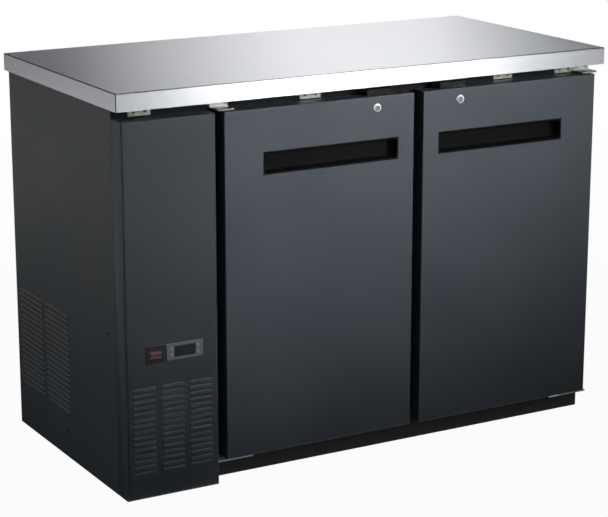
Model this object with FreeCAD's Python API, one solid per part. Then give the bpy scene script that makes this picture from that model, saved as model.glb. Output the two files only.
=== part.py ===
import FreeCAD, Part
import math
import os

# Under counter fridge with two solid swing doors and a machine compartment on the left.
# Millimetres. The fronts face -Y, +X is to the right, +Z is up, and the origin is on the
# floor under the middle of the worktop.

V = FreeCAD.Vector
X_AXIS = V(1, 0, 0)
Y_AXIS = V(0, 1, 0)
Z_AXIS = V(0, 0, 1)

# ---------------------------------------------------------------- driving dimensions

# Overall
worktop_width = 1220.0
worktop_depth = 600.0
overall_height = 870.0
worktop_edge = 38.0
side_overhang = 10.0
rear_overhang = 3.0
door_overhang = 4.5

# Sheet thicknesses
casing_sheet = 1.2
liner_sheet = 1.0
door_sheet = 1.0
base_sheet = 2.0
pocket_wall = 2.0
bracket_sheet = 3.0
clip_sheet = 2.0

# Layout of the front
front_depth = 45.0
grille_width = 215.0
grille_to_door = 21.0
door_gap = 24.0
door_side_inset = 12.0
door_bottom = 52.0
recess_height = 22.0

# Doors
door_edge_radius = 2.0
gasket_inset = 14.0
gasket_width = 13.0
gasket_depth = 9.0
gasket_seat_gap = 0.3
gasket_foot = 3.0
bellows_inset = 2.0
dish_inset = 30.0
dish_depth = 5.0
dish_radius = 3.0
seal_land = 28.0
back_plate = 2.0

# Handle pockets
pocket_width = 333.0
pocket_height = 49.0
pocket_lip = 3.0
pocket_lip_proud = 1.0
pocket_lip_round = 0.6
pocket_depth = 24.0
pocket_corner_r = 5.0
pocket_side_offset = 40.0
pocket_top_drop = 93.0

# Locks
lock_side_offset = 95.0
lock_top_drop = 25.0
lock_flange_r = 9.75
lock_flange_proud = 2.5
lock_flange_round = 0.8
lock_body_r = 8.0
lock_body_depth = 13.0
lock_plug_r = 6.0
lock_plug_proud = 0.6
lock_bore_clearance = 0.05
key_slot_width = 1.4
key_slot_height = 7.0
key_slot_depth = 5.0
cam_sheet = 2.0
cam_width = 10.0
cam_reach = 34.0
cam_clearance = 1.5
strike_height = 14.0
strike_lip = 2.0
strike_lip_back = 1.8
strike_lip_rise = 2.0
strike_near = 19.0
strike_far = 46.0

# Hinges
hinge_edge_offset = 12.0
hinge_face_offset = 15.0
hinge_pin_r = 4.0
hinge_pin_clearance = 0.05
hinge_pin_depth = 14.0
bush_r = 7.0
bush_flange_r = 9.0
bush_flange = 2.0
bush_length = 16.0
hinge_float = 0.2
hinge_leaf_inner = 30.0
hinge_leaf_outer = 24.0
hinge_leaf_nose = 9.0
hinge_foot_height = 18.0
bottom_leaf_extra = 38.0
leaf_corner_r = 6.0
bracket_screw_inset = 9.0

# Insulated cabinet
partition_thickness = 48.0
frame_rail = 24.0
rear_wall_thickness = 41.0
mullion_depth = 40.0
fit_clearance = 0.5
seat_clearance = 0.1

# Worktop
worktop_sheet = 1.2
worktop_edge_radius = 2.0
worktop_return = 15.0
worktop_clip_width = 50.0
worktop_clip_leg = 34.0
worktop_clip_centres = (0.053, 0.387, 0.802, 0.943)

# Grille panel
louvre_rows = 15
louvre_columns = 3
louvre_pitch = 13.2
louvre_margin = 14.0
louvre_gap = 11.0
louvre_slot = 5.0
louvre_hood = 2.6
louvre_bottom = 54.0
controls_centre = 315.0
controller_width = 85.0
controller_height = 36.0
controller_inset = 36.0
controller_body_width = 74.0
controller_body_height = 29.0
controller_body_depth = 42.0
bezel_proud = 2.5
bezel_round = 1.2
window_width = 50.0
window_height = 24.0
window_depth = 1.2
key_size = 8.0
key_spacing = 13.0
key_proud = 0.7
key_round = 0.4
key_travel = 0.5
key_stem = 4.0
key_clearance = 0.25
switch_inset = 47.0
switch_width = 44.0
switch_height = 38.0
switch_body_width = 30.0
switch_body_height = 27.0
switch_body_depth = 24.0
rocker_width = 24.0
rocker_half_height = 9.0
rocker_clearance = 0.4
rocker_tilt = 7.0
rocker_pivot_depth = 7.0
rocker_dip = 2.2
rocker_pin_r = 1.5
rocker_pin_clearance = 0.05
rocker_proud = 0.3

# Side and rear vents
side_vent_rows = 19
side_vent_columns = 2
side_vent_length = 128.0
side_vent_gap = 20.0
side_vent_bottom = 106.0
side_vent_rear_inset = 24.0
panel_screw_inset = 39.0
panel_screw_high = 349.0
panel_screw_low = 64.0
back_screw_inset = 18.0
rear_vent_rows = 14
rear_vent_columns = 2
rear_vent_length = 70.0
rear_vent_gap = 16.0
rear_vent_bottom = 120.0
vent_slot = 5.0
vent_pitch = 12.3

# Interior fittings
shelf_levels = (0.315, 0.6)
shelf_frame_r = 3.0
shelf_wire_r = 1.6
shelf_wire_sink = 0.6
shelf_wire_pitch = 24.0
shelf_side_gap = 2.0
shelf_front_gap = 6.0
standard_width = 16.0
standard_depth = 6.0
standard_end_gap = 20.0
standard_side_inset = 60.0
shelf_clip_depth = 14.0
shelf_clip_height = 5.0
shelf_clip_width = 12.0
evaporator_length = 400.0
evaporator_width = 300.0
evaporator_height = 68.0
evaporator_rear_gap = 12.0
evaporator_sheet = 1.2
evaporator_fin = 0.8
evaporator_fin_count = 16
evaporator_coil_length = 150.0
evaporator_coil_width = 250.0
evaporator_coil_height = 44.0
evaporator_fan_r = 58.0
evaporator_fan_ring = 62.0
evaporator_fan_height = 14.0
evaporator_hub_r = 16.0
evaporator_coil_gap = 36.0
evaporator_pipe_drop = 30.0
suction_rear_inset = 60.0
liquid_rear_inset = 120.0
evaporator_motor_r = 26.0
evaporator_motor_height = 34.0
guard_bar = 2.5
evaporator_ring_margin = 24.0
evaporator_fan_lift = 10.0
evaporator_header = 4.0
evaporator_motor_round = 3.0
outlet_columns = 3
outlet_rows = 3
outlet_length = 100.0
outlet_gap = 18.0
outlet_pitch = 14.0
outlet_slot = 7.0
outlet_side_inset = 30.0

# Machine compartment
foot_height = 10.0
foot_r = 18.0
foot_round = 1.5
foot_stem_r = 8.0
base_height = 30.0
foot_inset = 40.0
caster_hole_r = 5.25
caster_hole_inset = 70.0
caster_socket_r = 8.0
caster_socket_depth = 20.0
coil_front_gap = 12.0
coil_width = 190.0
coil_height = 250.0
coil_thickness = 30.0
coil_base_gap = 10.0
coil_fin = 0.8
coil_fin_count = 24
coil_tube_r = 4.0
coil_tube_rows = 6
coil_foot = 12.0
coil_header = 2.0
coil_header_inset = 8.0
shroud_depth = 40.0
shroud_sheet = 1.5
fan_ring_r = 82.0
fan_ring_depth = 14.0
fan_r = 78.0
fan_hub_r = 22.0
fan_hub_depth = 20.0
fan_blades = 5
fan_blade_sheet = 1.6
fan_pitch = 28.0
fan_shaft_r = 3.0
fan_shaft_clearance = 0.05
fan_motor_r = 38.0
fan_motor_depth = 50.0
fan_motor_gap = 2.0
fan_motor_round = 4.0
motor_arm = 8.0
motor_arm_sheet = 3.0
motor_arm_margin = 6.0
shaft_sink = 1.0
blade_share = 0.8
hub_round_share = 6
drain_pan_depth = 100.0
drain_pan_width = 180.0
drain_pan_height = 42.0
drain_pan_sheet = 1.5
drain_pan_rear_gap = 10.0
compressor_r = 72.0
compressor_height = 172.0
compressor_shoulder = 34.0
compressor_gap = 10.0
compressor_foot_length = 176.0
compressor_foot_width = 110.0
compressor_foot_sheet = 3.0
compressor_lift = 9.0
compressor_hole_inset = 14.0
grommet_r = 12.0
grommet_neck_r = 5.8
grommet_hole_clearance = 0.2
grommet_cap_r = 9.0
grommet_cap = 4.0
terminal_box = (26.0, 44.0, 60.0)
terminal_sink = 8.0
terminal_height = 50.0
electrical_size = (72.0, 130.0, 110.0)
electrical_base = 560.0
electrical_drier_gap = 64.5
lid_depth = 12.0
lid_step = 1.5
lid_round = 3.0
suction_pipe_r = 4.5
liquid_pipe_r = 3.0
drier_r = 10.0
drier_length = 110.0
pipe_bend = 16.0
pipe_rise = 60.0
pipe_jog = 40.0
discharge_offset = 20.0
suction_offset = 16.0
drier_inset = 30.0
drier_lift = 30.0
gland_bore_r = 4.5
gland_body_r = 8.0
gland_flange_r = 12.0
gland_flange = 2.0
gland_body_length = 12.0
gland_height = 90.0

# Fasteners
screw_head_r = 3.6
screw_head = 1.6
screw_head_round = 0.5
screw_shank_r = 1.8
screw_hole_r = 2.0

# ---------------------------------------------------------------- derived places

left = -worktop_width / 2
right = worktop_width / 2
front = -worktop_depth / 2
rear = worktop_depth / 2
worktop_bottom = overall_height - worktop_edge

body_left = left + side_overhang
body_right = right - side_overhang
body_width = body_right - body_left
door_face = front + door_overhang
cabinet_face = door_face + front_depth
body_back = rear - rear_overhang
door_top = worktop_bottom - recess_height
recess_middle = door_top + recess_height / 2
door_height = door_top - door_bottom
door_body_depth = front_depth - gasket_depth

panel_right = body_left + grille_width
left_door_left = panel_right + grille_to_door
right_door_right = body_right - door_side_inset
door_width = (right_door_right - left_door_left - door_gap) / 2
left_door_right = left_door_left + door_width
right_door_left = right_door_right - door_width
centre = (left_door_right + right_door_left) / 2

inside_left = left_door_left + seal_land
inside_right = right_door_right - seal_land
inside_floor = door_bottom + seal_land
inside_ceiling = door_top - seal_land
inside_back = body_back - rear_wall_thickness
mullion_left = left_door_right - seal_land
mullion_right = right_door_left + seal_land
frame_back = cabinet_face + casing_sheet
mullion_back = cabinet_face + mullion_depth
partition_left = inside_left - partition_thickness
base_top = base_height + base_sheet

machine_left = body_left + casing_sheet
machine_right = partition_left
machine_centre = (machine_left + machine_right) / 2
inner_back = body_back - casing_sheet

shelf_heights = [inside_floor + share * (inside_ceiling - inside_floor) for share in shelf_levels]
shelf_front = mullion_back + standard_depth + shelf_front_gap
shelf_rear = inside_back - standard_depth - shelf_front_gap
worktop_clip_places = [body_left + share * body_width for share in worktop_clip_centres]

# ---------------------------------------------------------------- helpers

same_place = 0.01


def block(x0, x1, y0, y1, z0, z1):
    return Part.makeBox(x1 - x0, y1 - y0, z1 - z0, V(x0, y0, z0))


def rod(x, y, z, axis, length, radius):
    return Part.makeCylinder(radius, length, V(x, y, z), axis)


def joined(shapes):
    return shapes[0].multiFuse(shapes[1:]).removeSplitter()


def cut_by(shape, tools):
    return shape.cut(Part.makeCompound(tools))


def rounded(shape, radius, chosen):
    """The shape with the edges that the test picks out rounded."""
    return shape.makeFillet(radius, [edge for edge in shape.Edges if chosen(edge)])


def at_plane(edge, axis, value):
    """Whether both ends of an edge lie on the plane where the axis has this value."""
    return all(abs(getattr(vertex.Point, axis) - value) < same_place for vertex in edge.Vertexes)


def runs_along(edge, axis):
    """Whether a straight edge runs along the axis."""
    first, last = edge.Vertexes[0].Point, edge.Vertexes[-1].Point
    return (last - first).cross(axis).Length < same_place


def prism(points, direction):
    """A flat outline pushed along a vector."""
    corners = [V(*point) for point in points]
    return Part.Face(Part.makePolygon(corners + corners[:1])).extrude(direction)


def pipe(points, radius):
    """A bent tube: straight runs with an arc at each corner."""
    corners = [V(*point) for point in points]
    edges = []
    start = corners[0]
    for before, corner, after in zip(corners, corners[1:], corners[2:]):
        towards = (corner - before).normalize()
        away = (after - corner).normalize()
        turn = towards.getAngle(away)
        setback = pipe_bend * math.tan(turn / 2)
        arc_start = corner - towards * setback
        arc_end = corner + away * setback
        inward = (away - towards).normalize()
        depth = pipe_bend / math.cos(turn / 2) - pipe_bend
        edges.append(Part.LineSegment(start, arc_start).toShape())
        edges.append(Part.Arc(arc_start, corner + inward * depth, arc_end).toShape())
        start = arc_end
    edges.append(Part.LineSegment(start, corners[-1]).toShape())
    path = Part.Wire(edges)
    section = Part.Wire([Part.makeCircle(radius, corners[0], corners[1] - corners[0])])
    return path.makePipeShell([section], True, True)


def screw(x, y, z, outward, grip):
    """A pan head standing on the surface, and a shank as long as the sheet is thick."""
    seat = V(x, y, z)
    head = Part.makeCylinder(screw_head_r, screw_head, seat, outward)
    top = seat + outward * screw_head
    head = rounded(head, screw_head_round, lambda edge: is_rim(edge, top, outward))
    shank = Part.makeCylinder(screw_shank_r, grip, seat, -outward)
    return head.fuse(shank)


def is_rim(edge, point, normal):
    """Whether an edge lies in the plane through the point."""
    level = all(abs((vertex.Point - point).dot(normal)) < same_place for vertex in edge.Vertexes)
    return level and edge.Closed


def screw_hole(x, y, z, outward, grip):
    """A clearance hole through a sheet, run a little past both of its faces."""
    start = V(x, y, z) + outward * fit_clearance
    return Part.makeCylinder(screw_hole_r, grip + 2 * fit_clearance, start, -outward)


def slots(columns, rows, length, gap, pitch, slot, start, bottom):
    """The two spans of each slot in a grid, as (low, high, z_low, z_high)."""
    return [
        (
            start + column * (length + gap),
            start + column * (length + gap) + length,
            bottom + row * pitch,
            bottom + row * pitch + slot,
        )
        for column in range(columns)
        for row in range(rows)
    ]


nodes = {}
all_screws = []

# ---------------------------------------------------------------- worktop


def make_worktop():
    outer = block(left, right, front, rear, worktop_bottom, overall_height)
    outer = rounded(
        outer,
        worktop_edge_radius,
        lambda edge: at_plane(edge, "z", overall_height) or runs_along(edge, Z_AXIS),
    )
    hollow = block(
        left + worktop_sheet,
        right - worktop_sheet,
        front + worktop_sheet,
        rear - worktop_sheet,
        worktop_bottom + worktop_sheet,
        overall_height - worktop_sheet,
    )
    inset = worktop_sheet + worktop_return
    mouth = block(
        left + inset,
        right - inset,
        front + inset,
        rear - inset,
        worktop_bottom,
        worktop_bottom + worktop_sheet,
    )
    return outer.cut(hollow).cut(mouth)


def make_worktop_core():
    inset = worktop_sheet + fit_clearance
    board = block(
        left + inset,
        right - inset,
        front + inset,
        rear - inset,
        worktop_bottom + worktop_sheet,
        overall_height - worktop_sheet,
    )
    step = worktop_sheet + worktop_return + fit_clearance
    plug = block(
        left + step,
        right - step,
        front + step,
        rear - step,
        worktop_bottom,
        worktop_bottom + worktop_sheet,
    )
    return joined([board, plug])


def make_worktop_clip(x):
    x0 = x - worktop_clip_width / 2
    x1 = x + worktop_clip_width / 2
    leg_bottom = worktop_bottom - recess_height + clip_sheet
    upright = block(x0, x1, cabinet_face - clip_sheet, cabinet_face, leg_bottom, worktop_bottom)
    leaf = block(
        x0,
        x1,
        cabinet_face - worktop_clip_leg,
        cabinet_face,
        worktop_bottom - clip_sheet,
        worktop_bottom,
    )
    clip = joined([upright, leaf])
    for side in (-1, 1):
        place = (x + side * worktop_clip_width / 4, cabinet_face - clip_sheet, recess_middle)
        clip = clip.cut(screw_hole(*place, -Y_AXIS, clip_sheet))
        all_screws.append(screw(*place, -Y_AXIS, clip_sheet))
    return clip


nodes["worktop"] = make_worktop()
nodes["worktop_core"] = make_worktop_core()
nodes["worktop_clips"] = Part.makeCompound([make_worktop_clip(x) for x in worktop_clip_places])

# ---------------------------------------------------------------- outer casing


def make_left_side_panel():
    panel = block(body_left, machine_left, cabinet_face, body_back, 0, worktop_bottom)
    length = side_vent_columns * (side_vent_length + side_vent_gap) - side_vent_gap
    start = body_back - side_vent_rear_inset - length
    vents = [
        block(body_left, machine_left, y0, y1, z0, z1)
        for y0, y1, z0, z1 in slots(
            side_vent_columns,
            side_vent_rows,
            side_vent_length,
            side_vent_gap,
            vent_pitch,
            vent_slot,
            start,
            side_vent_bottom,
        )
    ]
    return fasten_side(cut_by(panel, vents), body_left, -X_AXIS)


def make_right_side_panel():
    x0 = body_right - casing_sheet
    panel = block(x0, body_right, cabinet_face, body_back, 0, worktop_bottom)
    return fasten_side(panel, body_right, X_AXIS)


def fasten_side(panel, x, outward):
    """The two screws that hold a side panel: one high near its front, one low in its middle."""
    frontal = cabinet_face + panel_screw_inset
    middle = (cabinet_face + body_back) / 2
    for y, z in ((frontal, panel_screw_high), (middle, panel_screw_low)):
        panel = panel.cut(screw_hole(x, y, z, outward, casing_sheet))
        all_screws.append(screw(x, y, z, outward, casing_sheet))
    return panel



def make_back_panel():
    panel = block(machine_left, body_right - casing_sheet, inner_back, body_back, 0, worktop_bottom)
    length = rear_vent_columns * (rear_vent_length + rear_vent_gap) - rear_vent_gap
    vents = [
        block(x0, x1, inner_back, body_back, z0, z1)
        for x0, x1, z0, z1 in slots(
            rear_vent_columns,
            rear_vent_rows,
            rear_vent_length,
            rear_vent_gap,
            vent_pitch,
            vent_slot,
            machine_centre - length / 2,
            rear_vent_bottom,
        )
    ]
    panel = cut_by(panel, vents)
    gland_hole_r = gland_body_r + seat_clearance
    panel = panel.cut(rod(machine_centre, inner_back, gland_height, Y_AXIS, casing_sheet, gland_hole_r))
    for x in (body_left + back_screw_inset, machine_right, body_right - back_screw_inset):
        for z in (back_screw_inset, worktop_bottom - back_screw_inset):
            panel = panel.cut(screw_hole(x, body_back, z, Y_AXIS, casing_sheet))
            all_screws.append(screw(x, body_back, z, Y_AXIS, casing_sheet))
    return panel


def make_cord_gland():
    start = body_back - gland_body_length
    body = rod(machine_centre, start, gland_height, Y_AXIS, gland_body_length, gland_body_r)
    flange = rod(machine_centre, body_back, gland_height, Y_AXIS, gland_flange, gland_flange_r)
    reach = gland_body_length + gland_flange
    bore = rod(machine_centre, start, gland_height, Y_AXIS, reach, gland_bore_r)
    return joined([body, flange]).cut(bore)


def corner_places(inset):
    """A place near each corner of the base, the same distance in from both of its edges."""
    xs = (body_left + inset, body_right - inset)
    ys = (cabinet_face + inset, body_back - inset)
    return [(x, y) for x in xs for y in ys]


def make_base_pan():
    x0, x1 = machine_left, body_right - casing_sheet
    pan = block(x0, x1, frame_back, inner_back, 0, base_top)
    hollow = block(
        x0 + base_sheet,
        x1 - base_sheet,
        frame_back + base_sheet,
        inner_back - base_sheet,
        0,
        base_height,
    )
    holes = [
        rod(x, y, base_height, Z_AXIS, base_sheet, caster_hole_r)
        for x, y in corner_places(caster_hole_inset)
    ]
    return cut_by(pan, [hollow] + holes)


def make_foot(x, y):
    disc = rod(x, y, 0, Z_AXIS, foot_height, foot_r)
    disc = rounded(disc, foot_round, lambda edge: edge.Closed and at_plane(edge, "z", foot_height))
    stem = rod(x, y, foot_height, Z_AXIS, base_height - foot_height, foot_stem_r)
    return disc.fuse(stem)


def make_front_frame():
    """The steel face behind the doors, its three openings and the post between the doors."""
    face = block(machine_left, body_right - casing_sheet, cabinet_face, frame_back, 0, worktop_bottom)
    machine_mouth = block(
        machine_left + frame_rail,
        machine_right - frame_rail,
        cabinet_face,
        frame_back,
        base_top + frame_rail,
        worktop_bottom - 2 * frame_rail,
    )
    left_mouth = block(inside_left, mullion_left, cabinet_face, frame_back, inside_floor, inside_ceiling)
    right_mouth = block(mullion_right, inside_right, cabinet_face, frame_back, inside_floor, inside_ceiling)
    post = block(mullion_left, mullion_right, frame_back, mullion_back, inside_floor, inside_ceiling)
    core = block(
        mullion_left + casing_sheet,
        mullion_right - casing_sheet,
        frame_back,
        mullion_back - casing_sheet,
        inside_floor,
        inside_ceiling,
    )
    face = cut_by(face, [machine_mouth, left_mouth, right_mouth])
    return joined([face, post.cut(core)])



def pipe_openings(radius_extra):
    """The ways of the suction and liquid pipes through the insulated partition."""
    length = evaporator_left + evaporator_sheet - partition_left
    return [
        rod(partition_left, y, z, X_AXIS, length, radius + radius_extra)
        for y, z, radius in (
            (suction_y, pipe_z, suction_pipe_r),
            (liquid_y, pipe_z, liquid_pipe_r),
        )
    ]


evaporator_left = inside_left
evaporator_right = evaporator_left + evaporator_length
evaporator_back = inside_back - evaporator_rear_gap
evaporator_front = evaporator_back - evaporator_width
evaporator_bottom = inside_ceiling - evaporator_height
evaporator_coil_left = evaporator_left + evaporator_coil_gap
pipe_z = inside_ceiling - evaporator_pipe_drop
suction_y = evaporator_back - suction_rear_inset
liquid_y = evaporator_back - liquid_rear_inset


def make_insulation():
    outer = block(
        partition_left + casing_sheet,
        body_right - casing_sheet,
        frame_back,
        inner_back,
        base_top,
        worktop_bottom,
    )
    cavity = block(
        inside_left - liner_sheet,
        inside_right + liner_sheet,
        frame_back,
        inside_back + liner_sheet,
        inside_floor - liner_sheet,
        inside_ceiling + liner_sheet,
    )
    sockets = [
        rod(x, y, base_top, Z_AXIS, caster_socket_depth, caster_socket_r)
        for x, y in corner_places(caster_hole_inset)
        if x > partition_left
    ]
    shell = cut_by(outer, [cavity] + pipe_openings(fit_clearance) + sockets)
    post = block(
        mullion_left + casing_sheet,
        mullion_right - casing_sheet,
        frame_back,
        mullion_back - casing_sheet,
        inside_floor,
        inside_ceiling,
    )
    return Part.makeCompound([shell, post])


def make_liner():
    outer = block(
        inside_left - liner_sheet,
        inside_right + liner_sheet,
        frame_back,
        inside_back + liner_sheet,
        inside_floor - liner_sheet,
        inside_ceiling + liner_sheet,
    )
    inner = block(inside_left, inside_right, frame_back, inside_back, inside_floor, inside_ceiling)
    return cut_by(outer, [inner] + pipe_openings(fit_clearance))


def make_partition():
    wall = block(
        partition_left,
        partition_left + casing_sheet,
        frame_back,
        inner_back,
        base_top,
        worktop_bottom,
    )
    return cut_by(wall, pipe_openings(fit_clearance))


nodes["left_side_panel"] = make_left_side_panel()
nodes["right_side_panel"] = make_right_side_panel()
nodes["back_panel"] = make_back_panel()
nodes["cord_gland"] = make_cord_gland()
nodes["base_pan"] = make_base_pan()
nodes["base_feet"] = Part.makeCompound([make_foot(x, y) for x, y in corner_places(foot_inset)])
nodes["front_frame"] = make_front_frame()
nodes["cabinet_insulation"] = make_insulation()
nodes["inner_liner"] = make_liner()
nodes["partition_panel"] = make_partition()

# ---------------------------------------------------------------- grille panel and controls

louvre_room = grille_width - 2 * louvre_margin - (louvre_columns - 1) * louvre_gap
louvre_length = louvre_room / louvre_columns
louvre_start = body_left + louvre_margin
controller_x = panel_right - controller_inset - controller_width / 2
switch_x = body_left + switch_inset + switch_width / 2
key_columns = [
    controller_x + side * (window_width + controller_body_width) / 4 for side in (-1, 1)
]
key_rows = [controls_centre + side * key_spacing / 2 for side in (-1, 1)]
key_names = ("key_set", "key_up", "key_defrost", "key_down")
key_places = [(x, z) for x in key_columns for z in reversed(key_rows)]


def make_grille_panel():
    """A folded front: face, four returns and pressed louvres, open at the back."""
    outer = block(body_left, panel_right, door_face, cabinet_face, 0, door_top)
    outer = rounded(outer, door_edge_radius, lambda edge: at_plane(edge, "y", door_face))
    hollow = block(
        body_left + casing_sheet,
        panel_right - casing_sheet,
        door_face + casing_sheet,
        cabinet_face,
        casing_sheet,
        door_top - casing_sheet,
    )
    openings = [
        block(x0, x1, door_face, door_face + casing_sheet, z0, z1) for x0, x1, z0, z1 in grille_slots()
    ]
    for x, width, height in (
        (controller_x, controller_body_width, controller_body_height),
        (switch_x, switch_body_width, switch_body_height),
    ):
        openings.append(
            block(
                x - width / 2 - fit_clearance / 2,
                x + width / 2 + fit_clearance / 2,
                door_face,
                door_face + casing_sheet,
                controls_centre - height / 2 - fit_clearance / 2,
                controls_centre + height / 2 + fit_clearance / 2,
            )
        )
    panel = cut_by(outer.cut(hollow), openings)
    return joined([panel] + [make_louvre_hood(x0, z1) for x0, x1, z0, z1 in grille_slots()])


def grille_slots():
    return slots(
        louvre_columns,
        louvre_rows,
        louvre_length,
        louvre_gap,
        louvre_pitch,
        louvre_slot,
        louvre_start,
        louvre_bottom,
    )


def make_louvre_hood(x0, top):
    """A blade that leans out and down from the top edge of its slot."""
    lower = top - louvre_slot
    outline = [
        (x0, door_face, top + casing_sheet),
        (x0, door_face - louvre_hood, lower + casing_sheet),
        (x0, door_face - louvre_hood, lower),
        (x0, door_face + casing_sheet, top),
    ]
    return prism(outline, X_AXIS * louvre_length)


def make_controller_body():
    bezel = block(
        controller_x - controller_width / 2,
        controller_x + controller_width / 2,
        door_face - bezel_proud,
        door_face,
        controls_centre - controller_height / 2,
        controls_centre + controller_height / 2,
    )
    bezel = rounded(bezel, bezel_round, lambda edge: at_plane(edge, "y", door_face - bezel_proud))
    body = block(
        controller_x - controller_body_width / 2,
        controller_x + controller_body_width / 2,
        door_face,
        door_face + controller_body_depth,
        controls_centre - controller_body_height / 2,
        controls_centre + controller_body_height / 2,
    )
    window_seat = block(
        controller_x - window_width / 2,
        controller_x + window_width / 2,
        door_face - bezel_proud,
        door_face - bezel_proud + window_depth,
        controls_centre - window_height / 2,
        controls_centre + window_height / 2,
    )
    wells = [
        block(
            x - key_size / 2 - key_clearance,
            x + key_size / 2 + key_clearance,
            door_face - bezel_proud,
            door_face - bezel_proud + key_stem,
            z - key_size / 2 - key_clearance,
            z + key_size / 2 + key_clearance,
        )
        for x, z in key_places
    ]
    return cut_by(joined([bezel, body]), [window_seat] + wells)


def make_key(x, z):
    key = block(
        x - key_size / 2,
        x + key_size / 2,
        door_face - bezel_proud - key_proud,
        door_face - bezel_proud + key_stem - key_travel - key_clearance,
        z - key_size / 2,
        z + key_size / 2,
    )
    return rounded(key, key_round, lambda edge: at_plane(edge, "y", door_face - bezel_proud - key_proud))


def rocker_pivot():
    return V(switch_x, door_face - bezel_proud + rocker_pivot_depth, controls_centre)


def make_switch_housing():
    bezel = block(
        switch_x - switch_width / 2,
        switch_x + switch_width / 2,
        door_face - bezel_proud,
        door_face,
        controls_centre - switch_height / 2,
        controls_centre + switch_height / 2,
    )
    bezel = rounded(bezel, bezel_round, lambda edge: at_plane(edge, "y", door_face - bezel_proud))
    body = block(
        switch_x - switch_body_width / 2,
        switch_x + switch_body_width / 2,
        door_face,
        door_face + switch_body_depth,
        controls_centre - switch_body_height / 2,
        controls_centre + switch_body_height / 2,
    )
    half = rocker_width / 2 + rocker_clearance
    swing = (rocker_pivot_depth + rocker_proud) * math.sin(math.radians(rocker_tilt))
    mouth = rocker_half_height + swing + rocker_clearance
    well = block(
        switch_x - half,
        switch_x + half,
        door_face - bezel_proud,
        door_face - bezel_proud + rocker_pivot_depth,
        controls_centre - mouth,
        controls_centre + mouth,
    )
    pivot = rocker_pivot()
    bowl = rod(switch_x - half, pivot.y, pivot.z, X_AXIS, 2 * half, mouth)
    pin = rod(switch_x - half, pivot.y, pivot.z, X_AXIS, 2 * half, rocker_pin_r)
    return joined([joined([bezel, body]).cut(joined([well, bowl])), pin])



def make_rocker():
    """A rocker whose two faces meet in a shallow valley, pressed at its lower end."""
    pivot = rocker_pivot()
    x0 = switch_x - rocker_width / 2
    drum = rod(x0, pivot.y, pivot.z, X_AXIS, rocker_width, rocker_half_height)
    crest = pivot.y - rocker_pivot_depth - rocker_proud
    upper, lower = pivot.z + rocker_half_height, pivot.z - rocker_half_height
    outline = [
        (x0, crest, upper),
        (x0, crest + rocker_dip, pivot.z),
        (x0, crest, lower),
        (x0, pivot.y, lower),
        (x0, pivot.y, upper),
    ]
    head = prism(outline, X_AXIS * rocker_width)
    shape = joined([head, drum])
    bore = rod(x0, pivot.y, pivot.z, X_AXIS, rocker_width, rocker_pin_r + rocker_pin_clearance)
    shape = shape.cut(bore)
    shape.rotate(pivot, X_AXIS, -rocker_tilt)
    return shape


nodes["grille_panel"] = make_grille_panel()
nodes["controller_body"] = make_controller_body()
nodes["controller_window"] = block(
    controller_x - window_width / 2 + seat_clearance,
    controller_x + window_width / 2 - seat_clearance,
    door_face - bezel_proud,
    door_face - bezel_proud + window_depth,
    controls_centre - window_height / 2 + seat_clearance,
    controls_centre + window_height / 2 - seat_clearance,
)
for name, (key_x, key_z) in zip(key_names, key_places):
    nodes[name] = make_key(key_x, key_z)
nodes["switch_housing"] = make_switch_housing()
nodes["switch_rocker"] = make_rocker()

# ---------------------------------------------------------------- doors
# Each door is built with its hinge edge at x = 0, its face at y = 0 and its bottom at z = 0,
# and the right door is the mirror image of the left.

pocket_x1 = door_width - pocket_side_offset
pocket_x0 = pocket_x1 - pocket_width
pocket_z1 = door_height - pocket_top_drop
pocket_z0 = pocket_z1 - pocket_height
lock_x = door_width - lock_side_offset
lock_z = door_height - lock_top_drop
cam_front = lock_body_depth + fit_clearance
cam_back = cam_front + cam_sheet


def pocket_tray():
    """The block that the pocket fills behind the door's face."""
    return block(
        pocket_x0 + pocket_lip,
        pocket_x1 - pocket_lip,
        0,
        pocket_depth,
        pocket_z0 + pocket_lip,
        pocket_z1 - pocket_lip,
    )


def cam_space():
    """The room in the foam in which the cam lies and turns."""
    return block(
        lock_x - cam_reach - cam_clearance,
        lock_x + cam_width / 2 + cam_clearance,
        lock_body_depth,
        cam_back + cam_clearance,
        lock_z - cam_width / 2 - cam_clearance,
        door_height - door_sheet,
    )


def cam_slot():
    """The slot in the door's top edge that the cam rises through."""
    return block(
        lock_x - cam_reach + cam_width / 2,
        lock_x + cam_width / 2 + cam_clearance,
        lock_body_depth,
        cam_back + cam_clearance,
        door_height - door_sheet,
        door_height,
    )


def bush_holes(radius, depth):
    return [
        rod(hinge_edge_offset, hinge_face_offset, 0, Z_AXIS, depth, radius),
        rod(hinge_edge_offset, hinge_face_offset, door_height - depth, Z_AXIS, depth, radius),
    ]


def make_door_skin():
    outer = block(0, door_width, 0, door_body_depth - back_plate, 0, door_height)
    outer = rounded(outer, door_edge_radius, lambda edge: at_plane(edge, "y", 0))
    hollow = block(
        door_sheet,
        door_width - door_sheet,
        door_sheet,
        door_body_depth - back_plate,
        door_sheet,
        door_height - door_sheet,
    )
    lock_hole = rod(lock_x, 0, lock_z, Y_AXIS, door_sheet, lock_body_r + seat_clearance)
    tools = [hollow, pocket_tray(), lock_hole, cam_slot()]
    return cut_by(outer, tools + bush_holes(bush_r + seat_clearance, door_sheet))


def make_door_foam():
    foam = block(
        door_sheet,
        door_width - door_sheet,
        door_sheet,
        door_body_depth - back_plate,
        door_sheet,
        door_height - door_sheet,
    )
    lock_hole = rod(lock_x, 0, lock_z, Y_AXIS, lock_body_depth, lock_body_r + seat_clearance)
    tools = [pocket_tray(), lock_hole, cam_space()]
    return cut_by(foam, tools + bush_holes(bush_r + seat_clearance, bush_length + fit_clearance))


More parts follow.
